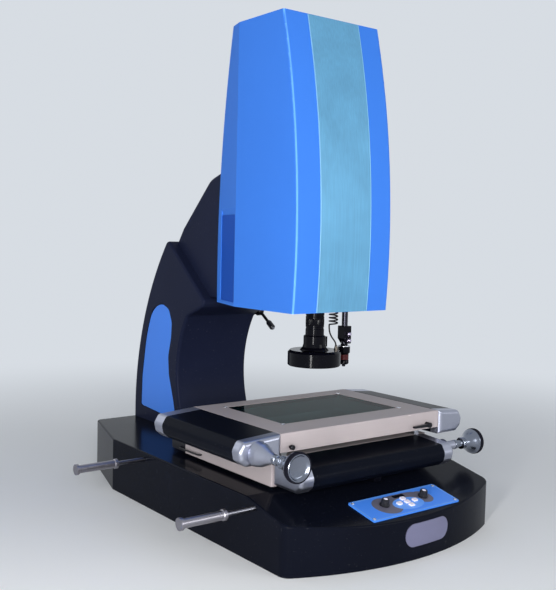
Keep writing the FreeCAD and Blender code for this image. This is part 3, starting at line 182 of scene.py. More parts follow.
share = put(floor_tree, "Math", [(0, fade.outputs["Result"]), (1, seen_rays(floor_tree))],
            operation="MULTIPLY")
glow = put(floor_tree, "Emission", [("Color", BACKDROP)])
blend = put(floor_tree, "MixShader", [("Fac", share.outputs[0]),
                                      (1, floor_shader.outputs["BSDF"]),
                                      (2, glow.outputs["Emission"])])
floor_tree.links.new(blend.outputs["Shader"],
                     floor_tree.nodes["Material Output"].inputs["Surface"])
floor.data.materials.append(floor_paint)

# Base casting
# Cast box with a bowed front and an apron that slopes to it, filled, rubbed down and sprayed in
# gloss black; it stands on four rubber pads let into its underside.
CLOUD_SCALE = 5.0
CLOUD_ROUGHNESS = 0.12
DUST_SCALE = 210.0
DUST_FROM = 0.66
DUST_FULL = 0.74
DUST_COLOUR = (0.6, 0.6, 0.62, 1.0)
TONE_SCALE = 14.0
SCRATCH_ROUGHNESS = 0.16
RELIEF_DEPTH = 0.0002
# The colour sockets of a Mix node, which share their names with its other sockets.
MIX_FIRST = 6
MIX_SECOND = 7
MIX_RESULT = 2


def new_group(name, inputs):
    """Shader group with inputs (name, kind, default); it puts out colour, roughness and height."""
    group = bpy.data.node_groups.new(name, "ShaderNodeTree")
    for label, kind, default in inputs:
        socket = group.interface.new_socket(label, in_out="INPUT", socket_type="NodeSocket" + kind)
        socket.default_value = default
    for label, kind in (("Colour", "Color"), ("Roughness", "Float"), ("Height", "Float")):
        group.interface.new_socket(label, in_out="OUTPUT", socket_type="NodeSocket" + kind)
    given = group.nodes.new("NodeGroupInput").outputs
    return group, given, group.nodes.new("NodeGroupOutput").inputs


def build_paint_group():
    """Sprayed paint: fine orange peel, faint cloudy shade and specks of dust."""
    group, given, out = new_group("sprayed_paint", [
        ("Colour", "Color", (0.5, 0.5, 0.5, 1.0)), ("Peel Size", "Float", 500.0),
        ("Cloud", "Float", 0.06), ("Gloss", "Float", 0.3), ("Dust", "Float", 0.04)])
    place = put(group, "TexCoord").outputs["Object"]
    peel = put(group, "TexNoise", [("Vector", place), ("Scale", given["Peel Size"]),
                                   ("Detail", 2.0)])
    cloud = put(group, "TexNoise", [("Vector", place), ("Scale", CLOUD_SCALE), ("Detail", 3.0)])
    specks = put(group, "TexNoise", [("Vector", place), ("Scale", DUST_SCALE), ("Detail", 5.0)])
    centred = put(group, "Math", [(0, cloud.outputs["Fac"]), (1, 0.5)], operation="SUBTRACT")
    shade = put(group, "Math", [(0, centred.outputs[0]), (1, given["Cloud"]), (2, 1.0)],
                operation="MULTIPLY_ADD")
    tint = put(group, "VectorMath", [(0, given["Colour"]), ("Scale", shade.outputs[0])],
               operation="SCALE")
    picked = put(group, "MapRange", [("Value", specks.outputs["Fac"]), ("From Min", DUST_FROM),
                                     ("From Max", DUST_FULL)])
    amount = put(group, "Math", [(0, picked.outputs["Result"]), (1, given["Dust"])],
                 operation="MULTIPLY")
    dusted = put(group, "Mix", [(0, amount.outputs[0]), (MIX_FIRST, tint.outputs[0]),
                                (MIX_SECOND, DUST_COLOUR)], data_type="RGBA")
    rough = put(group, "Math", [(0, cloud.outputs["Fac"]), (1, CLOUD_ROUGHNESS),
                                (2, given["Gloss"])], operation="MULTIPLY_ADD")
    group.links.new(dusted.outputs[MIX_RESULT], out["Colour"])
    group.links.new(rough.outputs[0], out["Roughness"])
    group.links.new(peel.outputs["Fac"], out["Height"])
    return group


def build_metal_group():
    """Worked metal: fine scratches drawn out along one axis, with a slow change of tone."""
    group, given, out = new_group("worked_metal", [
        ("Colour", "Color", (0.7, 0.7, 0.7, 1.0)), ("Stretch", "Vector", (1.0, 1.0, 1.0)),
        ("Scratch", "Float", 0.1), ("Gloss", "Float", 0.2)])
    place = put(group, "TexCoord").outputs["Object"]
    drawn = put(group, "VectorMath", [(0, place), (1, given["Stretch"])], operation="MULTIPLY")
    lines = put(group, "TexNoise", [("Vector", drawn.outputs[0]), ("Scale", 1.0), ("Detail", 4.0)])
    tone = put(group, "TexNoise", [("Vector", place), ("Scale", TONE_SCALE), ("Detail", 2.0)])
    both = put(group, "Math", [(0, lines.outputs["Fac"]), (1, tone.outputs["Fac"])],
               operation="ADD")
    centred = put(group, "Math", [(0, both.outputs[0]), (1, 1.0)], operation="SUBTRACT")
    shade = put(group, "Math", [(0, centred.outputs[0]), (1, given["Scratch"]), (2, 1.0)],
                operation="MULTIPLY_ADD")
    tint = put(group, "VectorMath", [(0, given["Colour"]), ("Scale", shade.outputs[0])],
               operation="SCALE")
    rough = put(group, "Math", [(0, lines.outputs["Fac"]), (1, SCRATCH_ROUGHNESS),
                                (2, given["Gloss"])], operation="MULTIPLY_ADD")
    group.links.new(tint.outputs[0], out["Colour"])
    group.links.new(rough.outputs[0], out["Roughness"])
    group.links.new(lines.outputs["Fac"], out["Height"])
    return group


paint_group = build_paint_group()
metal_group = build_metal_group()


def finish_material(name, group, values, bump, **plain):
    """Material whose colour, roughness and bump come from a group; plain numbers stand on the
    shader itself."""
    material = bpy.data.materials.new(name)
    material.use_nodes = True
    finish_tree = material.node_tree
    shader = finish_tree.nodes["Principled BSDF"]
    for label, value in plain.items():
        shader.inputs[label.replace("_", " ")].default_value = value
    finish = put(finish_tree, "Group", node_tree=group)
    for label, value in values.items():
        finish.inputs[label].default_value = value
    relief = put(finish_tree, "Bump", [("Strength", bump), ("Distance", RELIEF_DEPTH),
                                       ("Height", finish.outputs["Height"])])
    finish_tree.links.new(finish.outputs["Colour"], shader.inputs["Base Color"])
    finish_tree.links.new(finish.outputs["Roughness"], shader.inputs["Roughness"])
    finish_tree.links.new(relief.outputs["Normal"], shader.inputs["Normal"])
    return material


def painted(name, colour, gloss=0.3, peel=500.0, cloud=0.08, dust=0.03, bump=0.12, level=0.5):
    """Sprayed or moulded finish; gloss is its least roughness and level its mirror strength."""
    return finish_material(name, paint_group, {"Colour": (*colour, 1.0), "Gloss": gloss,
                                               "Peel Size": peel, "Cloud": cloud, "Dust": dust},
                           bump, Specular_IOR_Level=level)


def worked(name, colour, stretch=(60.0, 60.0, 60.0), scratch=0.12, gloss=0.2, bump=0.1,
           metallic=1.0, level=0.5):
    """Ground, turned or brushed finish; stretch is how fine the scratches are along x, y and z."""
    return finish_material(name, metal_group, {"Colour": (*colour, 1.0), "Stretch": stretch,
                                               "Scratch": scratch, "Gloss": gloss},
                           bump, Metallic=metallic, Specular_IOR_Level=level)


def wear(name, material):
    """Give a CAD node its finish."""
    node = nodes[name]
    if not node.material_slots:
        node.data.materials.append(material)
    for slot in node.material_slots:
        slot.material = material


black_gloss = painted("black_gloss_paint", (0.004, 0.005, 0.010), gloss=0.12, peel=320.0,
                      cloud=0.5, dust=0.03, bump=0.06, level=0.04)
wear("machine_base", black_gloss)
rubber = painted("black_rubber", (0.007, 0.007, 0.012), gloss=0.5, peel=900.0, cloud=0.25,
                 dust=0.04, bump=0.2, level=0.04)
wear("rubber_feet", rubber)

# Carrying rods
# Steel rods screwed into the side of the base, each with a turned aluminium grip sleeve that has
# a collar at both ends.
drawn_steel = worked("drawn_steel", (0.22, 0.22, 0.25), stretch=(20.0, 900.0, 900.0), gloss=0.2)
sleeve_aluminium = worked("sleeve_aluminium", (0.26, 0.25, 0.28), stretch=(700.0, 60.0, 60.0),
                          gloss=0.26, scratch=0.3)
wear("carry_rods", drawn_steel)
wear("rod_grips", sleeve_aluminium)

# Column
# Cast iron arm, throat rounded, sprayed near black with a violet cast; the blue insets in its
# sides are pressed plates in shallow recesses, round at the top.
column_paint = painted("column_paint", (0.010, 0.013, 0.032), gloss=0.3, peel=420.0, cloud=0.45,
                       dust=0.05, bump=0.2, level=0.04)
wear("column", column_paint)
inset_paint = painted("inset_paint", (0.058, 0.215, 0.76), gloss=0.34, peel=700.0, cloud=0.1,
                      level=0.15)
INSET_CORNERS = [(500, 447), (548, 428), (578, 360), (600, 240), (603, 160), (419, 148),
                 (434, 200), (457, 262), (462, 310), (449, 360), (446, 400), (462, 434)]
INSET_RADII = [54, 73, 366, 60, 8, 6, 40, 40, 40, 40, 64, 46]
INSET_GAP = 0.5
INSET_BEVEL = 0.6
INSET_BACK = 103.0
INSET_FACE = 106.0
CREASE = 30.0


def rounded_outline(corners, radii, steps=12):
    """Closed outline with an arc at each corner. An arc of radius r starts r * tan(turn / 2) before
    its corner and sweeps by the turn between the two edges."""
    corner = np.asarray(corners, float)
    radius = np.asarray(radii, float)[:, None]
    arriving = corner - np.roll(corner, 1, axis=0)
    leaving = np.roll(corner, -1, axis=0) - corner
    arriving /= np.linalg.norm(arriving, axis=1, keepdims=True)
    leaving /= np.linalg.norm(leaving, axis=1, keepdims=True)
    turn = np.arctan2(arriving[:, 0] * leaving[:, 1] - arriving[:, 1] * leaving[:, 0],
                      (arriving * leaving).sum(axis=1))[:, None]
    start = corner - arriving * radius * np.abs(np.tan(0.5 * turn))
    inward = np.sign(turn) * np.stack([-arriving[:, 1], arriving[:, 0]], axis=1)
    angle = turn * np.linspace(0.0, 1.0, steps)
    centre = start + inward * radius
    spoke = start - centre
    first = centre[:, :1] + np.cos(angle) * spoke[:, :1] - np.sin(angle) * spoke[:, 1:]
    second = centre[:, 1:] + np.sin(angle) * spoke[:, :1] + np.cos(angle) * spoke[:, 1:]
    return np.stack([first, second], axis=-1).reshape(-1, 2)


def drawn_in(outline, distance):
    """Clockwise outline moved inwards by a distance, square to the chord through its neighbours."""
    chord = np.roll(outline, -1, axis=0) - np.roll(outline, 1, axis=0)
    chord /= np.linalg.norm(chord, axis=1, keepdims=True)
    return outline + distance * np.stack([chord[:, 1], -chord[:, 0]], axis=1)


def closed_form(name, rings, body, material, crease=CREASE):
    """Piece from rows of points in mm, each row a closed ring: four-sided walls from row to row, a
    flat face at each end, and a sharp edge where two faces turn by more than the crease, in
    degrees."""
    index = np.arange(rings.shape[0] * rings.shape[1]).reshape(rings.shape[:2])
    after = np.roll(index, -1, axis=1)
    walls = np.stack([index[:-1], after[:-1], after[1:], index[1:]], axis=-1).reshape(-1, 4)
    ends = [index[0, ::-1].tolist(), index[-1].tolist()]
    piece = mesh_piece(name, rings / 1000.0, walls.tolist() + ends, body)
    piece.data.set_sharp_from_angle(angle=math.radians(crease))
    piece.data.materials.append(material)
    return piece


inset_outline = drawn_in(rounded_outline(INSET_CORNERS, INSET_RADII), INSET_GAP)
inset_front = drawn_in(inset_outline, INSET_BEVEL)
inset_levels = ((INSET_BACK, inset_outline), (INSET_FACE - INSET_BEVEL, inset_outline),
                (INSET_FACE, inset_front))
for side, sign in (("left", -1.0), ("right", 1.0)):
    rings = np.stack([np.column_stack([np.full(len(row), sign * x), row])
                      for x, row in inset_levels])
    inset = closed_form("side_inset_" + side, rings, "base", inset_paint)
    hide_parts("side_insets")

# Head covers
# Sheet metal covers sprayed bright blue; the rear one narrows to the back, has a recessed panel
# in a deeper blue low on each side, and is held by four button screws.
cover_paint = painted("cover_paint", (0.047, 0.19, 0.68), gloss=0.36, peel=600.0, cloud=0.08,
                      dust=0.02, bump=0.05, level=0.02)
wear("head_cover", cover_paint)
wear("rear_cover", cover_paint)
panel_paint = painted("panel_paint", (0.009, 0.075, 0.42), gloss=0.34, peel=600.0, cloud=0.1,
                      level=0.02)
wear("rear_panels", panel_paint)


def bow_circle(low, middle, high):
    """Centre and radius of the circle through three (y, z) points, from its two chord equations."""
    points = np.array((low, middle, high), float)
    chords = 2.0 * (points[1:] - points[0])
    centre = np.linalg.solve(chords, (points[1:] ** 2).sum(axis=1) - (points[0] ** 2).sum())
    return centre, float(np.linalg.norm(points[0] - centre))


HEAD_FRONT = ((-89.0, 467.0), (-89.0, 783.5), (-35.0, 1100.0))
HEAD_HALF_WIDTH = 136.0
# Painted highlight on the head's front folds: its colour, and where it fades out, in metres.
FOLD_HIGHLIGHT_TINT = (0.14, 0.38, 0.9, 1.0)
FOLD_HIGHLIGHT_NEAR = 0.0026
FOLD_HIGHLIGHT_FAR = 0.0042
front_centre, front_radius = bow_circle(*HEAD_FRONT)


def paint_fold_highlight(material):
    """Painted highlight on the two front folds: a paler blue mixed into the paint colour along the
    rounded edges, where the light catches them. With a = front radius - distance from the bow's
    axis and b = half width - |x|, it shows where the length of (a, b) is small."""
    fold_tree = material.node_tree
    shader = fold_tree.nodes["Principled BSDF"]
    paint = shader.inputs["Base Color"].links[0].from_socket
    place = put(fold_tree, "TexCoord").outputs["Object"]
    upright = put(fold_tree, "VectorMath", [(0, place), (1, (0.0, 1.0, 1.0))],
                  operation="MULTIPLY")
    from_axis = put(fold_tree, "VectorMath", [(0, upright.outputs[0]),
                                              (1, (0.0, *(front_centre / 1000.0)))],
                    operation="DISTANCE")
    depth = put(fold_tree, "Math", [(0, front_radius / 1000.0), (1, from_axis.outputs["Value"])],
                operation="SUBTRACT")
    side = put(fold_tree, "Math", [(0, put(fold_tree, "SeparateXYZ", [(0, place)]).outputs["X"])],
               operation="ABSOLUTE")
    inside = put(fold_tree, "Math", [(0, HEAD_HALF_WIDTH / 1000.0), (1, side.outputs[0])],
                 operation="SUBTRACT")
    corner = put(fold_tree, "CombineXYZ", [("X", depth.outputs[0]), ("Y", inside.outputs[0])])
    reach = put(fold_tree, "VectorMath", [(0, corner.outputs[0])], operation="LENGTH")
    highlight_mask = put(fold_tree, "MapRange", [("Value", reach.outputs["Value"]), ("From Min", FOLD_HIGHLIGHT_NEAR),
                                       ("From Max", FOLD_HIGHLIGHT_FAR), ("To Min", 1.0), ("To Max", 0.0)],
               interpolation_type="SMOOTHSTEP")
    highlighted = put(fold_tree, "Mix", [(0, highlight_mask.outputs["Result"]), (MIX_FIRST, paint),
                                   (MIX_SECOND, FOLD_HIGHLIGHT_TINT)], data_type="RGBA")
    fold_tree.links.new(highlighted.outputs[MIX_RESULT], shader.inputs["Base Color"])


# Paint a highlight onto the cover's two front folds.
paint_fold_highlight(cover_paint)


def axes_round(axis):
    """Two unit vectors square to the axis, and the axis itself, right-handed."""
    along = np.asarray(axis, float)
    along = along / np.linalg.norm(along)
    helper = np.array((0.0, 0.0, 1.0)) if abs(along[2]) < 0.9 else np.array((1.0, 0.0, 0.0))
    first = np.cross(helper, along)
    first /= np.linalg.norm(first)
    return first, np.cross(along, first), along


TURNED_CREASE = 34.0


def turned_piece(name, profile, place, axis, body, material, steps=96, flutes=0, flute=0.0,
                 crease=TURNED_CREASE):
    """Surface of revolution: a profile of (radius, distance along the axis) in mm, carried round
    the axis at place. Where the profile's third value is 1, the radius is less by
    flute * (0.5 - 0.5 cos(flutes * angle)). The ends are closed flat."""
    rows = np.array([(*row, 0.0)[:3] for row in profile], float)
    angle = np.linspace(0.0, 2.0 * np.pi, steps, endpoint=False)
    wave = 0.5 - 0.5 * np.cos(flutes * angle)
    radius = rows[:, None, 0] - flute * rows[:, None, 2] * wave[None, :]
    first, second, along = axes_round(axis)
    ring = np.cos(angle)[:, None] * first + np.sin(angle)[:, None] * second
    rings = (np.asarray(place, float) + radius[..., None] * ring[None, :, :]
             + rows[:, None, 1, None] * along)
    return closed_form(name, rings, body, material, crease)


chrome_bright = worked("chrome_bright", (0.62, 0.63, 0.67), stretch=(90.0, 90.0, 90.0), gloss=0.1,
                       scratch=0.05, bump=0.01)
HEAD_BACK = ((256.0, 467.0), (242.4, 783.5), (166.0, 1100.0))
BUTTON_PROFILE = [(4.5, -0.3), (4.5, 0.4), (4.1, 1.4), (3.2, 2.2), (2.3, 2.5), (2.0, 2.4),
                  (2.0, 1.0), (0.3, 1.0)]
BUTTON_SPREAD = 72.0
BUTTON_HEIGHTS = (836.0, 1050.0)
back_centre, back_radius = bow_circle(*HEAD_BACK)
for x in (-BUTTON_SPREAD, BUTTON_SPREAD):
    for level, z in enumerate(BUTTON_HEIGHTS):
        run = math.sqrt(back_radius ** 2 - (z - back_centre[1]) ** 2)
        away = (0.0, run / back_radius, (z - back_centre[1]) / back_radius)
        turned_piece("cover_screw_%d_%d" % (x > 0, level), BUTTON_PROFILE,
                     (x, back_centre[0] + run, z), away, "base", chrome_bright, steps=40)

# Front strip
# Brushed aluminium strip with a pale cyan lacquer down the middle of the head, held along both
# edges by a thin half-round bead of the same metal.
strip_metal = worked("strip_metal", (0.11, 0.305, 0.485), stretch=(380.0, 380.0, 3.0), scratch=0.34,
                     gloss=0.34, bump=0.06, metallic=0.2, level=0.2)
wear("front_strip", strip_metal)
bead_metal = worked("bead_metal", (0.19, 0.42, 0.62), stretch=(200.0, 200.0, 8.0), scratch=0.05,
                    gloss=0.4, metallic=0.2, level=0.2)
BEAD_HALF_WIDTH = 1.3
BEAD_HEIGHT = 2.3
BEAD_SINK = 0.2
BEAD_SPREAD = 71.6
BEAD_LOW = 468.0
BEAD_HIGH = 1098.0
BEAD_CREASE = 60.0


def bowed_bead(name, x, steps=120, sides=10):
    """Half-round bead on the bow: across = half width * cos(a) and out = height * sin(a), for a
    from 0 to pi, carried up the circle of the head's front; the foot and both ends are closed."""
    z = np.linspace(BEAD_LOW, BEAD_HIGH, steps)
    away = np.stack([-np.sqrt(front_radius ** 2 - (z - front_centre[1]) ** 2),
                     z - front_centre[1]], axis=-1) / front_radius
    angle = np.linspace(0.0, np.pi, sides)
    reach = front_radius + BEAD_HEIGHT * np.sin(angle) - BEAD_SINK
    across = np.broadcast_to(x + BEAD_HALF_WIDTH * np.cos(angle), (steps, sides))
    line = front_centre + away[:, None, :] * reach[None, :, None]
    rings = np.concatenate([across[..., None], line], axis=-1)
    closed_form(name, rings, "base", bead_metal, BEAD_CREASE)


bowed_bead("strip_bead_left", -BEAD_SPREAD)
bowed_bead("strip_bead_right", BEAD_SPREAD)

# Z slide
# Ground rails and blocks on a machined bed inside the head, with the anodised carriage, its clamp
# ring and the camera on it.
ground_steel = worked("ground_steel", (0.45, 0.46, 0.48), stretch=(300.0, 300.0, 30.0), gloss=0.22)
black_anodised = worked("black_anodised", (0.002, 0.002, 0.004), stretch=(300.0, 300.0, 300.0),
                        scratch=0.3, gloss=0.05, bump=0.015, metallic=0.0, level=0.1)
wear("z_rail_bed", ground_steel)
wear("z_bearing_blocks", ground_steel)
wear("z_carriage", black_anodised)
wear("video_camera", black_anodised)

# Lens
# Zoom lens in a black anodised barrel: knurled bands and turned grooves, the zoom ring in its
# own groove, and a coated front element behind a thin retaining ring.
LENS_PROFILE = [(14.6, 361.6), (14.6, 358.5), (15.1, 358), (19.4, 358), (20.4, 358.6), (21, 360),
                (21, 422), (20.2, 422.8), (20.2, 426.6), (21, 427.4), (21, 430.4), (20.4, 431),
                (21, 431.6, 1), (21, 444.4, 1), (20.4, 445), (21, 445.6), (21, 450), (20.2, 450.6),
                (20.2, 452.6), (21, 453.2), (21, 464), (20.2, 464.8), (20.2, 467.4), (21, 468.2),
                (21, 504.4), (18, 504.5), (18, 531.5), (21, 531.6), (21, 679.8), (15.6, 685.6),
                (15, 686.2), (15, 700)]
LENS_PLACE = (0, 0, 0)
UPWARD = (0, 0, 1)
lens_barrel = turned_piece("lens_barrel", LENS_PROFILE, LENS_PLACE, UPWARD, "z_head",
                           black_anodised, steps=240, flutes=60, flute=0.7)
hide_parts("zoom_lens")
RING_PROFILE = [(18.1, 505), (23, 505), (24, 506), (24, 508), (23.4, 508.6), (24, 509.2, 1),
                (24, 526.6, 1), (23.4, 527.4), (24, 528), (24, 530), (23, 531), (18.1, 531),
                (18.1, 505)]
zoom_grip = turned_piece("zoom_grip", RING_PROFILE, LENS_PLACE, UPWARD, "zoom", black_anodised,
                         steps=288, flutes=72, flute=0.7)
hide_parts("zoom_ring")


def clear_glass(name, colour, roughness=0.02, index=1.5):
    """Plain clear glass with a cast of its own colour."""
    material = bpy.data.materials.new(name)
    material.use_nodes = True
    shader = material.node_tree.nodes["Principled BSDF"]
    shader.inputs["Base Color"].default_value = (*colour, 1.0)
    shader.inputs["Roughness"].default_value = roughness
    shader.inputs["Transmission Weight"].default_value = 1.0
    shader.inputs["IOR"].default_value = index
    return material


ELEMENT_PROFILE = [(0.3, 358.8), (4, 358.95), (8, 359.5), (11.5, 360.3), (14.4, 361.3),
                   (14.4, 361.55), (0.3, 361.55)]
turned_piece("front_element", ELEMENT_PROFILE, LENS_PLACE, UPWARD, "z_head",
             clear_glass("coated_glass", (0.55, 0.45, 0.75)), steps=64, crease=60.0)

# Ring light
# Black anodised housing clamped round the lens by its flared collar, with a white diffuser let
# into its underside.
wear("ring_light", black_anodised)
diffuser_plastic = painted("diffuser_plastic", (0.72, 0.72, 0.69), gloss=0.35, peel=900.0,
                           cloud=0.05)
wear("ring_diffuser", diffuser_plastic)

# Laser pointer
# Dark steel rod with a black clamp block; two knurled screws in its face pinch the rod, and the
# pointer hangs below in a black shell with a red-brown band and a bright top edge.
POINTER_PLACE = (92.0, 2.0, 0.0)
dark_rod = worked("dark_rod", (0.035, 0.035, 0.045), stretch=(500.0, 500.0, 20.0), gloss=0.16)
wear("laser_rod", dark_rod)
wear("laser_clamp", black_anodised)
screw_steel = worked("screw_steel", (0.52, 0.47, 0.6), stretch=(200.0, 200.0, 200.0), gloss=0.12,
                     scratch=0.05)
THUMB_PROFILE = [(2, -3.2), (2, 0.3), (4.4, 0.5), (5, 1.1, 1), (5, 6.6, 1), (4.4, 7.3), (3.7, 7.8),
                 (3.5, 10.4), (2.8, 11), (0.3, 11)]
THUMB_SEATS = (("upper", (92.0, -8.5, 407.0)), ("lower", (92.0, -8.5, 392.0)))
FORWARD = (0, -1, 0)
for side, seat in THUMB_SEATS:
    screw = turned_piece(side + "_screw_head", THUMB_PROFILE, seat, FORWARD, side + "_screw",
                         screw_steel, steps=120, flutes=24, flute=0.6)
    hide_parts(side + "_thumb_screw")
SHELL_PROFILE = [(4.1, 335.3), (7.5, 335), (10.4, 336.6), (11.5, 338.2), (11.5, 344.8),
                 (11.1, 345.4), (10.6, 345.8), (10.6, 359.2), (11.1, 359.6), (11.5, 360.2),
                 (11.5, 361), (13, 362), (14, 363.2), (14, 375.8), (13.4, 376.4), (8.4, 376.5),
                 (8.4, 383)]
pointer_shell = turned_piece("pointer_shell", SHELL_PROFILE, POINTER_PLACE, UPWARD, "z_head",
                             black_anodised)
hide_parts("laser_pointer")
warm_band = worked("warm_band", (0.07, 0.012, 0.014), gloss=0.3, metallic=0.2, level=0.2)
BAND_PROFILE = [(10.5, 346.2), (11, 346.6), (11, 358.4), (10.5, 358.8)]
turned_piece("pointer_band", BAND_PROFILE, POINTER_PLACE, UPWARD, "z_head", warm_band,
             steps=64)
EDGE_PROFILE = [(13.2, 376.5), (14, 377), (13.9, 378.4), (13.1, 379.5), (12, 380), (8.5, 380),
                (8.5, 376.6)]
turned_piece("pointer_edge_ring", EDGE_PROFILE, POINTER_PLACE, UPWARD, "z_head", chrome_bright,
             crease=70.0)
NOZZLE_PROFILE = [(2.6, 330.1), (3.4, 330.3), (4, 331.2), (4, 335.4), (3, 335.5)]
turned_piece("pointer_nozzle", NOZZLE_PROFILE, POINTER_PLACE, UPWARD, "z_head", dark_rod,
             steps=48)

# Star handle
# Dark steel hub and spokes on the shaft that comes out of the column's side; each spoke has a
# moulded grip with a bright cap pressed on its end.
dark_steel = worked("dark_steel", (0.03, 0.03, 0.035), gloss=0.25, level=0.3)
grip_plastic = painted("grip_plastic", (0.010, 0.010, 0.014), gloss=0.28, peel=800.0, level=0.3)
wear("star_handle", dark_steel)
wear("handle_grips", grip_plastic)
HANDLE_MIDDLE = np.array((130.0, 388.0, 430.0))
HANDLE_REACH = 78.0
SPOKE_ANGLES = (-145.5, -25.5, 94.5)
GRIP_CAP_PROFILE = [(3.9, -0.6), (4.2, 0), (4.0, 0.7), (3, 1.1), (0.3, 1.2)]
for number, degrees in enumerate(SPOKE_ANGLES):
    turn = math.radians(degrees)
    spoke = np.array((0.0, math.cos(turn), math.sin(turn)))
    turned_piece("grip_cap_%d" % number, GRIP_CAP_PROFILE, HANDLE_MIDDLE + HANDLE_REACH * spoke,
                 spoke, "handle", chrome_bright, steps=32)

# Stage
# Two cast plates, ground and left in a warm grey, on rails over the base; black rolled covers
# with cast end caps hide the drives in front and at both sides.
plate_metal = worked("plate_metal", (0.42, 0.37, 0.375), stretch=(8.0, 500.0, 500.0), scratch=0.08,
                     gloss=0.36, bump=0.05, metallic=0.0, level=0.08)
wear("lower_plate", plate_metal)
wear("top_plate", plate_metal)
for name in ("stage_rails_and_scales", "x_bearings_and_reader", "y_bearings_and_reader"):
    wear(name, ground_steel)
wear("x_drive_nut", black_anodised)
wear("y_drive_nut", black_anodised)
wear("stage_bed", black_gloss)
cover_satin = painted("cover_satin", (0.003, 0.004, 0.008), gloss=0.26, peel=500.0, cloud=0.3,
                      dust=0.03, bump=0.08, level=0.03)
wear("x_cover", cover_satin)
wear("y_covers", cover_satin)
cap_metal = worked("cap_metal", (0.36, 0.375, 0.45), stretch=(240.0, 240.0, 240.0), gloss=0.3,
                   scratch=0.06, bump=0.012)
wear("x_cover_caps", cap_metal)
wear("y_cover_caps", cap_metal)

# Stage glass
# Float glass with a green tint let into the top plate, with a round retainer at each corner; the
# bottom light in the base shines up at it through a frosted glass.
RETAINER_PROFILE = [(5, 245), (5, 245.6), (4.4, 246.1), (2.6, 246.3), (2.3, 245.8), (0.3, 245.8)]
RETAINERS_ACROSS = (-173.0, 161.0)
RETAINERS_ALONG = (-112.0, 96.0)
for x in RETAINERS_ACROSS:
    for y in RETAINERS_ALONG:
        turned_piece("glass_retainer_%d_%d" % (x > 0, y > 0), RETAINER_PROFILE, (x, y, 0), UPWARD,
                     "y_stage", chrome_bright, steps=32)
wear("stage_glass", clear_glass("stage_glass_green", (0.07, 0.16, 0.16), index=1.05))
wear("bottom_light", black_anodised)
wear("bottom_light_glass", clear_glass("lamp_glass", (0.8, 0.85, 0.82), roughness=0.25))

# Handwheels
# Turned aluminium on a long shaft: a collar, a thin neck, three ribs, a flared back, and a flat
# dished face inside a raised lip; a rubber tyre is pressed round it.
WHEEL_PROFILE = [(10, 0.6), (10.4, 1), (10.4, 8.6), (9.8, 9.4), (8.2, 10), (7.7, 11.4),
                 (7.6, 16), (7.8, 21.6), (8.4, 23.6), (12, 24.2), (13, 25), (13, 26.6),
                 (12.2, 27.2), (10.8, 27.6), (10.8, 28.4), (12.2, 28.8), (13, 29.4), (13, 31),
                 (12.2, 31.6), (10.8, 32), (10.8, 32.8), (12.2, 33.2), (13, 33.8), (13, 36.4),
                 (13.8, 39.6), (15.6, 43.6), (18.4, 48), (22, 52.6), (25, 56.4), (27.2, 60),
                 (27.9, 62), (27.6, 63), (26, 63.2), (26, 72.2), (25.3, 73), (23.9, 73),
                 (23.1, 72.3), (22.2, 70.9), (19.2, 68.5), (18, 68.1), (0.4, 68)]
TYRE_PROFILE = [(26.05, 63.4), (27.6, 63.3), (28.7, 63.9), (29, 65), (29, 71), (28.7, 72.2),
                (27.6, 72.9), (26.05, 72.7), (26.05, 63.4)]
wheel_metal = worked("wheel_metal", (0.21, 0.23, 0.28), stretch=(240.0, 240.0, 240.0), gloss=0.1,
                     scratch=0.08, bump=0.015)
X_WHEEL_PLACE = (244.0, -204.0, 168.0)
X_SHAFT_REACH = 451.0
Y_WHEEL_PLACE = (-288.0, -236.0, 215.0)
Y_SHAFT_REACH = 355.0
RIGHTWARD = (1, 0, 0)


def handwheel(side, place, axis, tail):
    """Wheel at place, its tyre, and its shaft reaching back by tail."""
    body = side + "_wheel"
    wheel = turned_piece(body + "_turning", WHEEL_PROFILE, place, axis, body, wheel_metal)
    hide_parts(side + "_handwheel")
    turned_piece(body + "_shaft", [(5.6, -tail), (6, 0.4 - tail), (6, 1)], place, axis, body,
                 drawn_steel, steps=48)
    tyre = turned_piece(body + "_tyre", TYRE_PROFILE, place, axis, body, rubber)
    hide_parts(side + "_wheel_rim")


handwheel("x", X_WHEEL_PLACE, RIGHTWARD, X_SHAFT_REACH)
handwheel("y", Y_WHEEL_PLACE, FORWARD, Y_SHAFT_REACH)

# Stage locks
# A flat lever on a round pivot and a small turned knob, both of dark steel, screwed into the
# front edge of the stage plate.
wear("lock_lever", dark_steel)
wear("lock_knob", dark_steel)

# Junction box
# Moulded box behind the lower plate where the scales' leads gather; its short lead goes round to
# the plate's side through a tapered sleeve.
BOX_LOW = (-226.0, 179.0, 133.5)
BOX_HIGH = (-162.0, 239.0, 165.5)
BOX_CORNER = 5.0
BOX_EDGE = 3.0


def moulded_box(name, low, high, corner, edge, body, material, steps=8):
    """Box whose outline is a rounded rectangle; round its upper edge the outline comes in by
    edge * (1 - cos a) and rises by edge * sin a, for a from 0 to a right angle."""
    low, high = np.array(low), np.array(high)
    bend = np.linspace(0.0, 0.5 * np.pi, steps)
    inset = np.concatenate([[0.0], edge * (1.0 - np.cos(bend))])
    height = np.concatenate([[low[2]], high[2] - edge + edge * np.sin(bend)])
    quarter = np.arange(4)[:, None]
    angle = (quarter * 0.5 * np.pi + bend[None, :]).ravel()
    centre_x = np.where((quarter == 0) | (quarter == 3), high[0] - corner, low[0] + corner)
    centre_y = np.where(quarter < 2, high[1] - corner, low[1] + corner)
    radius = corner - inset[:, None]
    x = np.repeat(centre_x, steps, axis=1).ravel() + radius * np.cos(angle)
    y = np.repeat(centre_y, steps, axis=1).ravel() + radius * np.sin(angle)
    rings = np.stack([x, y, np.broadcast_to(height[:, None], x.shape)], axis=-1)
    return closed_form(name, rings, body, material)


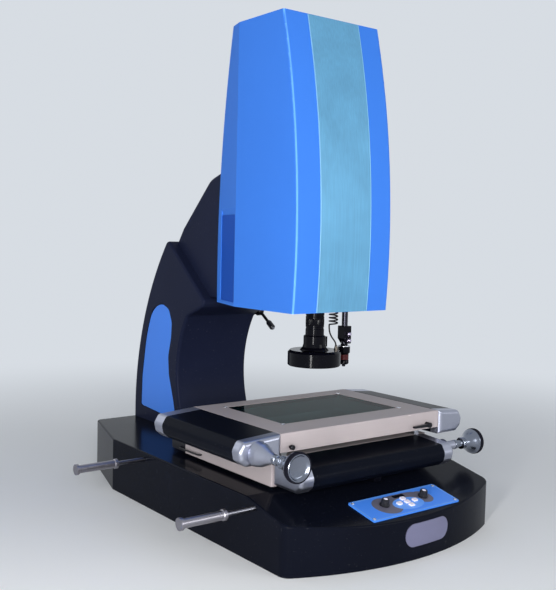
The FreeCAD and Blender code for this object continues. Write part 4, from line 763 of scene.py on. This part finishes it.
junction_box = moulded_box("junction_box", BOX_LOW, BOX_HIGH, BOX_CORNER, BOX_EDGE, "x_stage",
                           grip_plastic)
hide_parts("rear_box")
SLEEVE_PROFILE = [(3.4, -1), (3.4, 1.2), (2.9, 1.8), (2.1, 4.5), (2.05, 5)]
SLEEVE_PLACE = (-226.0, 193.0, 141.5)
LEFTWARD = (-1, 0, 0)
turned_piece("lead_sleeve", SLEEVE_PROFILE, SLEEVE_PLACE, LEFTWARD, "x_stage", rubber,
             steps=32)


def laid_cord(name, line, radius, body, material):
    """Round cord along a smooth NURBS line through space, its control points in metres."""
    curve = bpy.data.curves.new(name, "CURVE")
    curve.dimensions = "3D"
    spline = curve.splines.new("NURBS")
    spline.points.add(len(line) - 1)
    spline.points.foreach_set("co", np.c_[line, np.ones(len(line))].ravel())
    spline.order_u = 3
    spline.use_endpoint_u = True
    spline.resolution_u = 4
    curve.bevel_depth = radius
    curve.bevel_resolution = 2
    curve.use_fill_caps = True
    cord = bpy.data.objects.new(name, curve)
    bpy.context.scene.collection.objects.link(cord)
    cord.data.materials.append(material)
    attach(cord, body)
    return cord


cable_rubber = painted("cable_rubber", (0.010, 0.010, 0.012), gloss=0.4, peel=1200.0, level=0.3)
LEAD_RADIUS = 0.002
LEAD_ROUTE = [(-225.5, 193, 141.5), (-233, 193, 141.5), (-233, 180, 141.5), (-233, 151, 141),
              (-233, 122, 141.5), (-233, 109, 141.5), (-226, 109, 141.5)]
lead_line = np.array(LEAD_ROUTE, float) / 1000.0
scale_lead = laid_cord("scale_lead", lead_line, LEAD_RADIUS, "x_stage", cable_rubber)
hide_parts("rear_box")

# Control panel
# Blue lacquered plate screwed to the apron: printed fields round the knobs and keys, a pale line
# painted round its edge as the edge's highlight, a smoked display window, two fluted knobs and
# five moulded keys.
PANEL_TILT = math.radians(12.0)
APRON_EDGE_HEIGHT = 124.0
PANEL_FROM_EDGE = 137.0
PANEL_PLACE = np.array((10.0, -284.0,
                        APRON_EDGE_HEIGHT - PANEL_FROM_EDGE * math.tan(PANEL_TILT)))
PANEL_FACE = 3.0
PRINT_SINK = 0.1
PANEL_UP = np.array((0.0, -math.sin(PANEL_TILT), math.cos(PANEL_TILT)))
panel_face = painted("panel_face", (0.062, 0.26, 0.9), gloss=0.34, peel=900.0, cloud=0.1,
                     level=0.3)
wear("control_panel", panel_face)
key_plastic = painted("key_plastic", (0.9, 0.85, 0.98), gloss=0.3, peel=900.0)
for key in ("key_middle", "key_left", "key_right", "key_front", "key_back"):
    wear(key, key_plastic)


def on_panel(x, y, z):
    """Points laid on the sloping panel, from millimetres along it and above the apron."""
    x, y, z = np.broadcast_arrays(np.asarray(x, float), y, z)
    return PANEL_PLACE + np.stack([x, y * math.cos(PANEL_TILT) - z * math.sin(PANEL_TILT),
                                   y * math.sin(PANEL_TILT) + z * math.cos(PANEL_TILT)], axis=-1)


def printed_patch(name, outline, height, material):
    """Flat printed shape on the panel: an outline of (x, y) closed by one face, with a thin edge
    that goes a little way into the plate."""
    flat = np.asarray(outline, float)
    top = on_panel(flat[:, 0], flat[:, 1], PANEL_FACE + height)
    foot = on_panel(flat[:, 0], flat[:, 1], PANEL_FACE - PRINT_SINK)
    ring = np.arange(len(flat))
    after = np.roll(ring, -1)
    sides = np.stack([ring + len(flat), after + len(flat), after, ring], axis=-1)
    faces = [ring.tolist(), (ring[::-1] + len(flat)).tolist()] + sides.tolist()
    piece = mesh_piece(name, np.concatenate([top, foot]) / 1000.0, faces, "base", False)
    piece.data.materials.append(material)


def rounded_block(x, y, half_x, half_y, power=2.0, count=64):
    """Superellipse outline: an ellipse at power 2, and squarer as the power grows."""
    angle = np.linspace(0.0, 2.0 * np.pi, count, endpoint=False)
    cosine, sine = np.cos(angle), np.sin(angle)
    return np.stack([x + half_x * np.sign(cosine) * np.abs(cosine) ** (2.0 / power),
                     y + half_y * np.sign(sine) * np.abs(sine) ** (2.0 / power)], axis=-1)


print_grey = painted("print_grey", (0.12, 0.115, 0.16), gloss=0.4, peel=900.0, cloud=0.05)
print_light = painted("print_light", (0.13, 0.36, 0.95), gloss=0.35, peel=900.0, cloud=0.05)
# A pale line painted just inside the panel's edge, standing in for the edge's highlight.
edge_highlight_paint = painted("edge_highlight_paint", (0.2, 0.42, 0.85), gloss=0.35, peel=900.0, cloud=0.05)
window_smoke = painted("window_smoke", (0.006, 0.006, 0.012), gloss=0.1, peel=900.0, cloud=0.2)
printed_patch("painted_edge_highlight", rounded_block(0, 0, 120.4, 37.4, 40.0, 160), 0.06, edge_highlight_paint)
printed_patch("print_field", rounded_block(0, 0, 118.8, 35.8, 40.0, 160), 0.10, panel_face)
printed_patch("print_left_ring", rounded_block(-50, 0, 33, 31), 0.16, print_grey)
printed_patch("print_right_ring", rounded_block(54, 3, 23, 23), 0.16, print_grey)
printed_patch("print_band", rounded_block(3, 16, 52, 15, 3.0), 0.20, print_grey)
printed_patch("print_keypad", rounded_block(3, -7, 40, 22), 0.26, print_light)
printed_patch("display_window", rounded_block(3, 23, 15.6, 5.2, 8.0), 0.6, window_smoke)
KNOB_PROFILE = [(10.3, 3.5), (10.5, 4), (10.5, 6.2), (9.8, 6.8), (8.6, 7.1), (8.4, 7.8, 1),
                (8, 15.6, 1), (7.4, 17.2), (6.6, 18), (4.8, 18), (4.4, 17.4), (0.3, 17.4)]
DISC_PROFILE = [(4.2, 17.4), (4.2, 17.9), (3.6, 18.2), (0.3, 18.2)]
KNOB_SPREAD = 55.0
KNOB_RISE = 3.0
for x, side in ((-KNOB_SPREAD, "left"), (KNOB_SPREAD, "right")):
    seat = on_panel(x, KNOB_RISE, 0.0)
    knob = turned_piece(side + "_knob_cap", KNOB_PROFILE, seat, PANEL_UP, side + "_knob",
                        grip_plastic, steps=144, flutes=18, flute=0.9)
    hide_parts("knob_" + side)
    turned_piece(side + "_knob_disc", DISC_PROFILE, seat, PANEL_UP, side + "_knob", key_plastic,
                 steps=40)
SCREW_PROFILE = [(3.4, 2.9), (3.4, 3.5), (2.9, 4.2), (1.9, 4.6), (1.5, 4.6), (1.4, 3.9), (0.2, 3.9)]
SCREWS_ACROSS = (-115.0, 115.0)
SCREWS_ALONG = (-32.0, 32.0)
for x in SCREWS_ACROSS:
    for y in SCREWS_ALONG:
        turned_piece("panel_screw_%d_%d" % (x > 0, y > 0), SCREW_PROFILE, on_panel(x, y, 0.0),
                     PANEL_UP, "base", chrome_bright, steps=32)

# Label plate
# Plain brushed plate with round ends, cut from sheet, bent to the bow of the base's front and
# glued to it.
label_metal = worked("label_metal", (0.17, 0.17, 0.27), stretch=(8.0, 8.0, 700.0), gloss=0.34,
                     metallic=0.3, level=0.3)
wear("label_plate", label_metal)

# Back of the base
# Moulded mains inlet with its three pins, and a rocker switch in a frame, both let into the rear
# face of the casting.
wear("power_inlet", grip_plastic)
wear("rocker_switch", grip_plastic)

# Ring light cable
# Thin black cable out of a brass gland on the ring light, then a curly stretch up beside the
# lens to the carriage.
CABLE_RADIUS = 0.00175
CABLE_ROUTE = [(46, -22, 375), (46, -22, 384), (43, -21.5, 393), (34, -20, 403), (27.5, -19.5, 414),
               (25.4, -20, 425)]
COIL_PLACE = (33.0, -25.0)
COIL_RADIUS = 9.5
COIL_TURNS = 11
TURN_POINTS = 12
COIL_START = math.radians(150.0)
COIL_LOW = 433.0
COIL_HIGH = 516.0
CABLE_TOP = (33.0, -25.0, 519.5)
# The coil: x and y go round its middle by radius * (cos a, sin a), and z rises evenly with a.
coil_angle = COIL_START + np.linspace(0.0, 2.0 * np.pi * COIL_TURNS, TURN_POINTS * COIL_TURNS + 1)
coil_line = np.stack([COIL_PLACE[0] + COIL_RADIUS * np.cos(coil_angle),
                      COIL_PLACE[1] + COIL_RADIUS * np.sin(coil_angle),
                      np.linspace(COIL_LOW, COIL_HIGH, len(coil_angle))], axis=-1)
cable_line = np.concatenate([np.array(CABLE_ROUTE, float), coil_line, [CABLE_TOP]]) / 1000.0
light_cable = laid_cord("light_cable", cable_line, CABLE_RADIUS, "z_head", cable_rubber)
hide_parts("ring_cable", "cable_coil")
gland_brass = worked("gland_brass", (0.16, 0.14, 0.12), gloss=0.24)
GLAND_PROFILE = [(5.4, 374.8), (5.4, 375.6), (4.6, 376, 1), (4.6, 379.6, 1), (3.6, 380.2),
                 (3.6, 383), (2.6, 384.4), (1.9, 384.6)]
GLAND_PLACE = (46, -22, 0)
turned_piece("cable_gland", GLAND_PROFILE, GLAND_PLACE, UPWARD, "z_head", gland_brass,
             steps=48, flutes=6, flute=0.5)
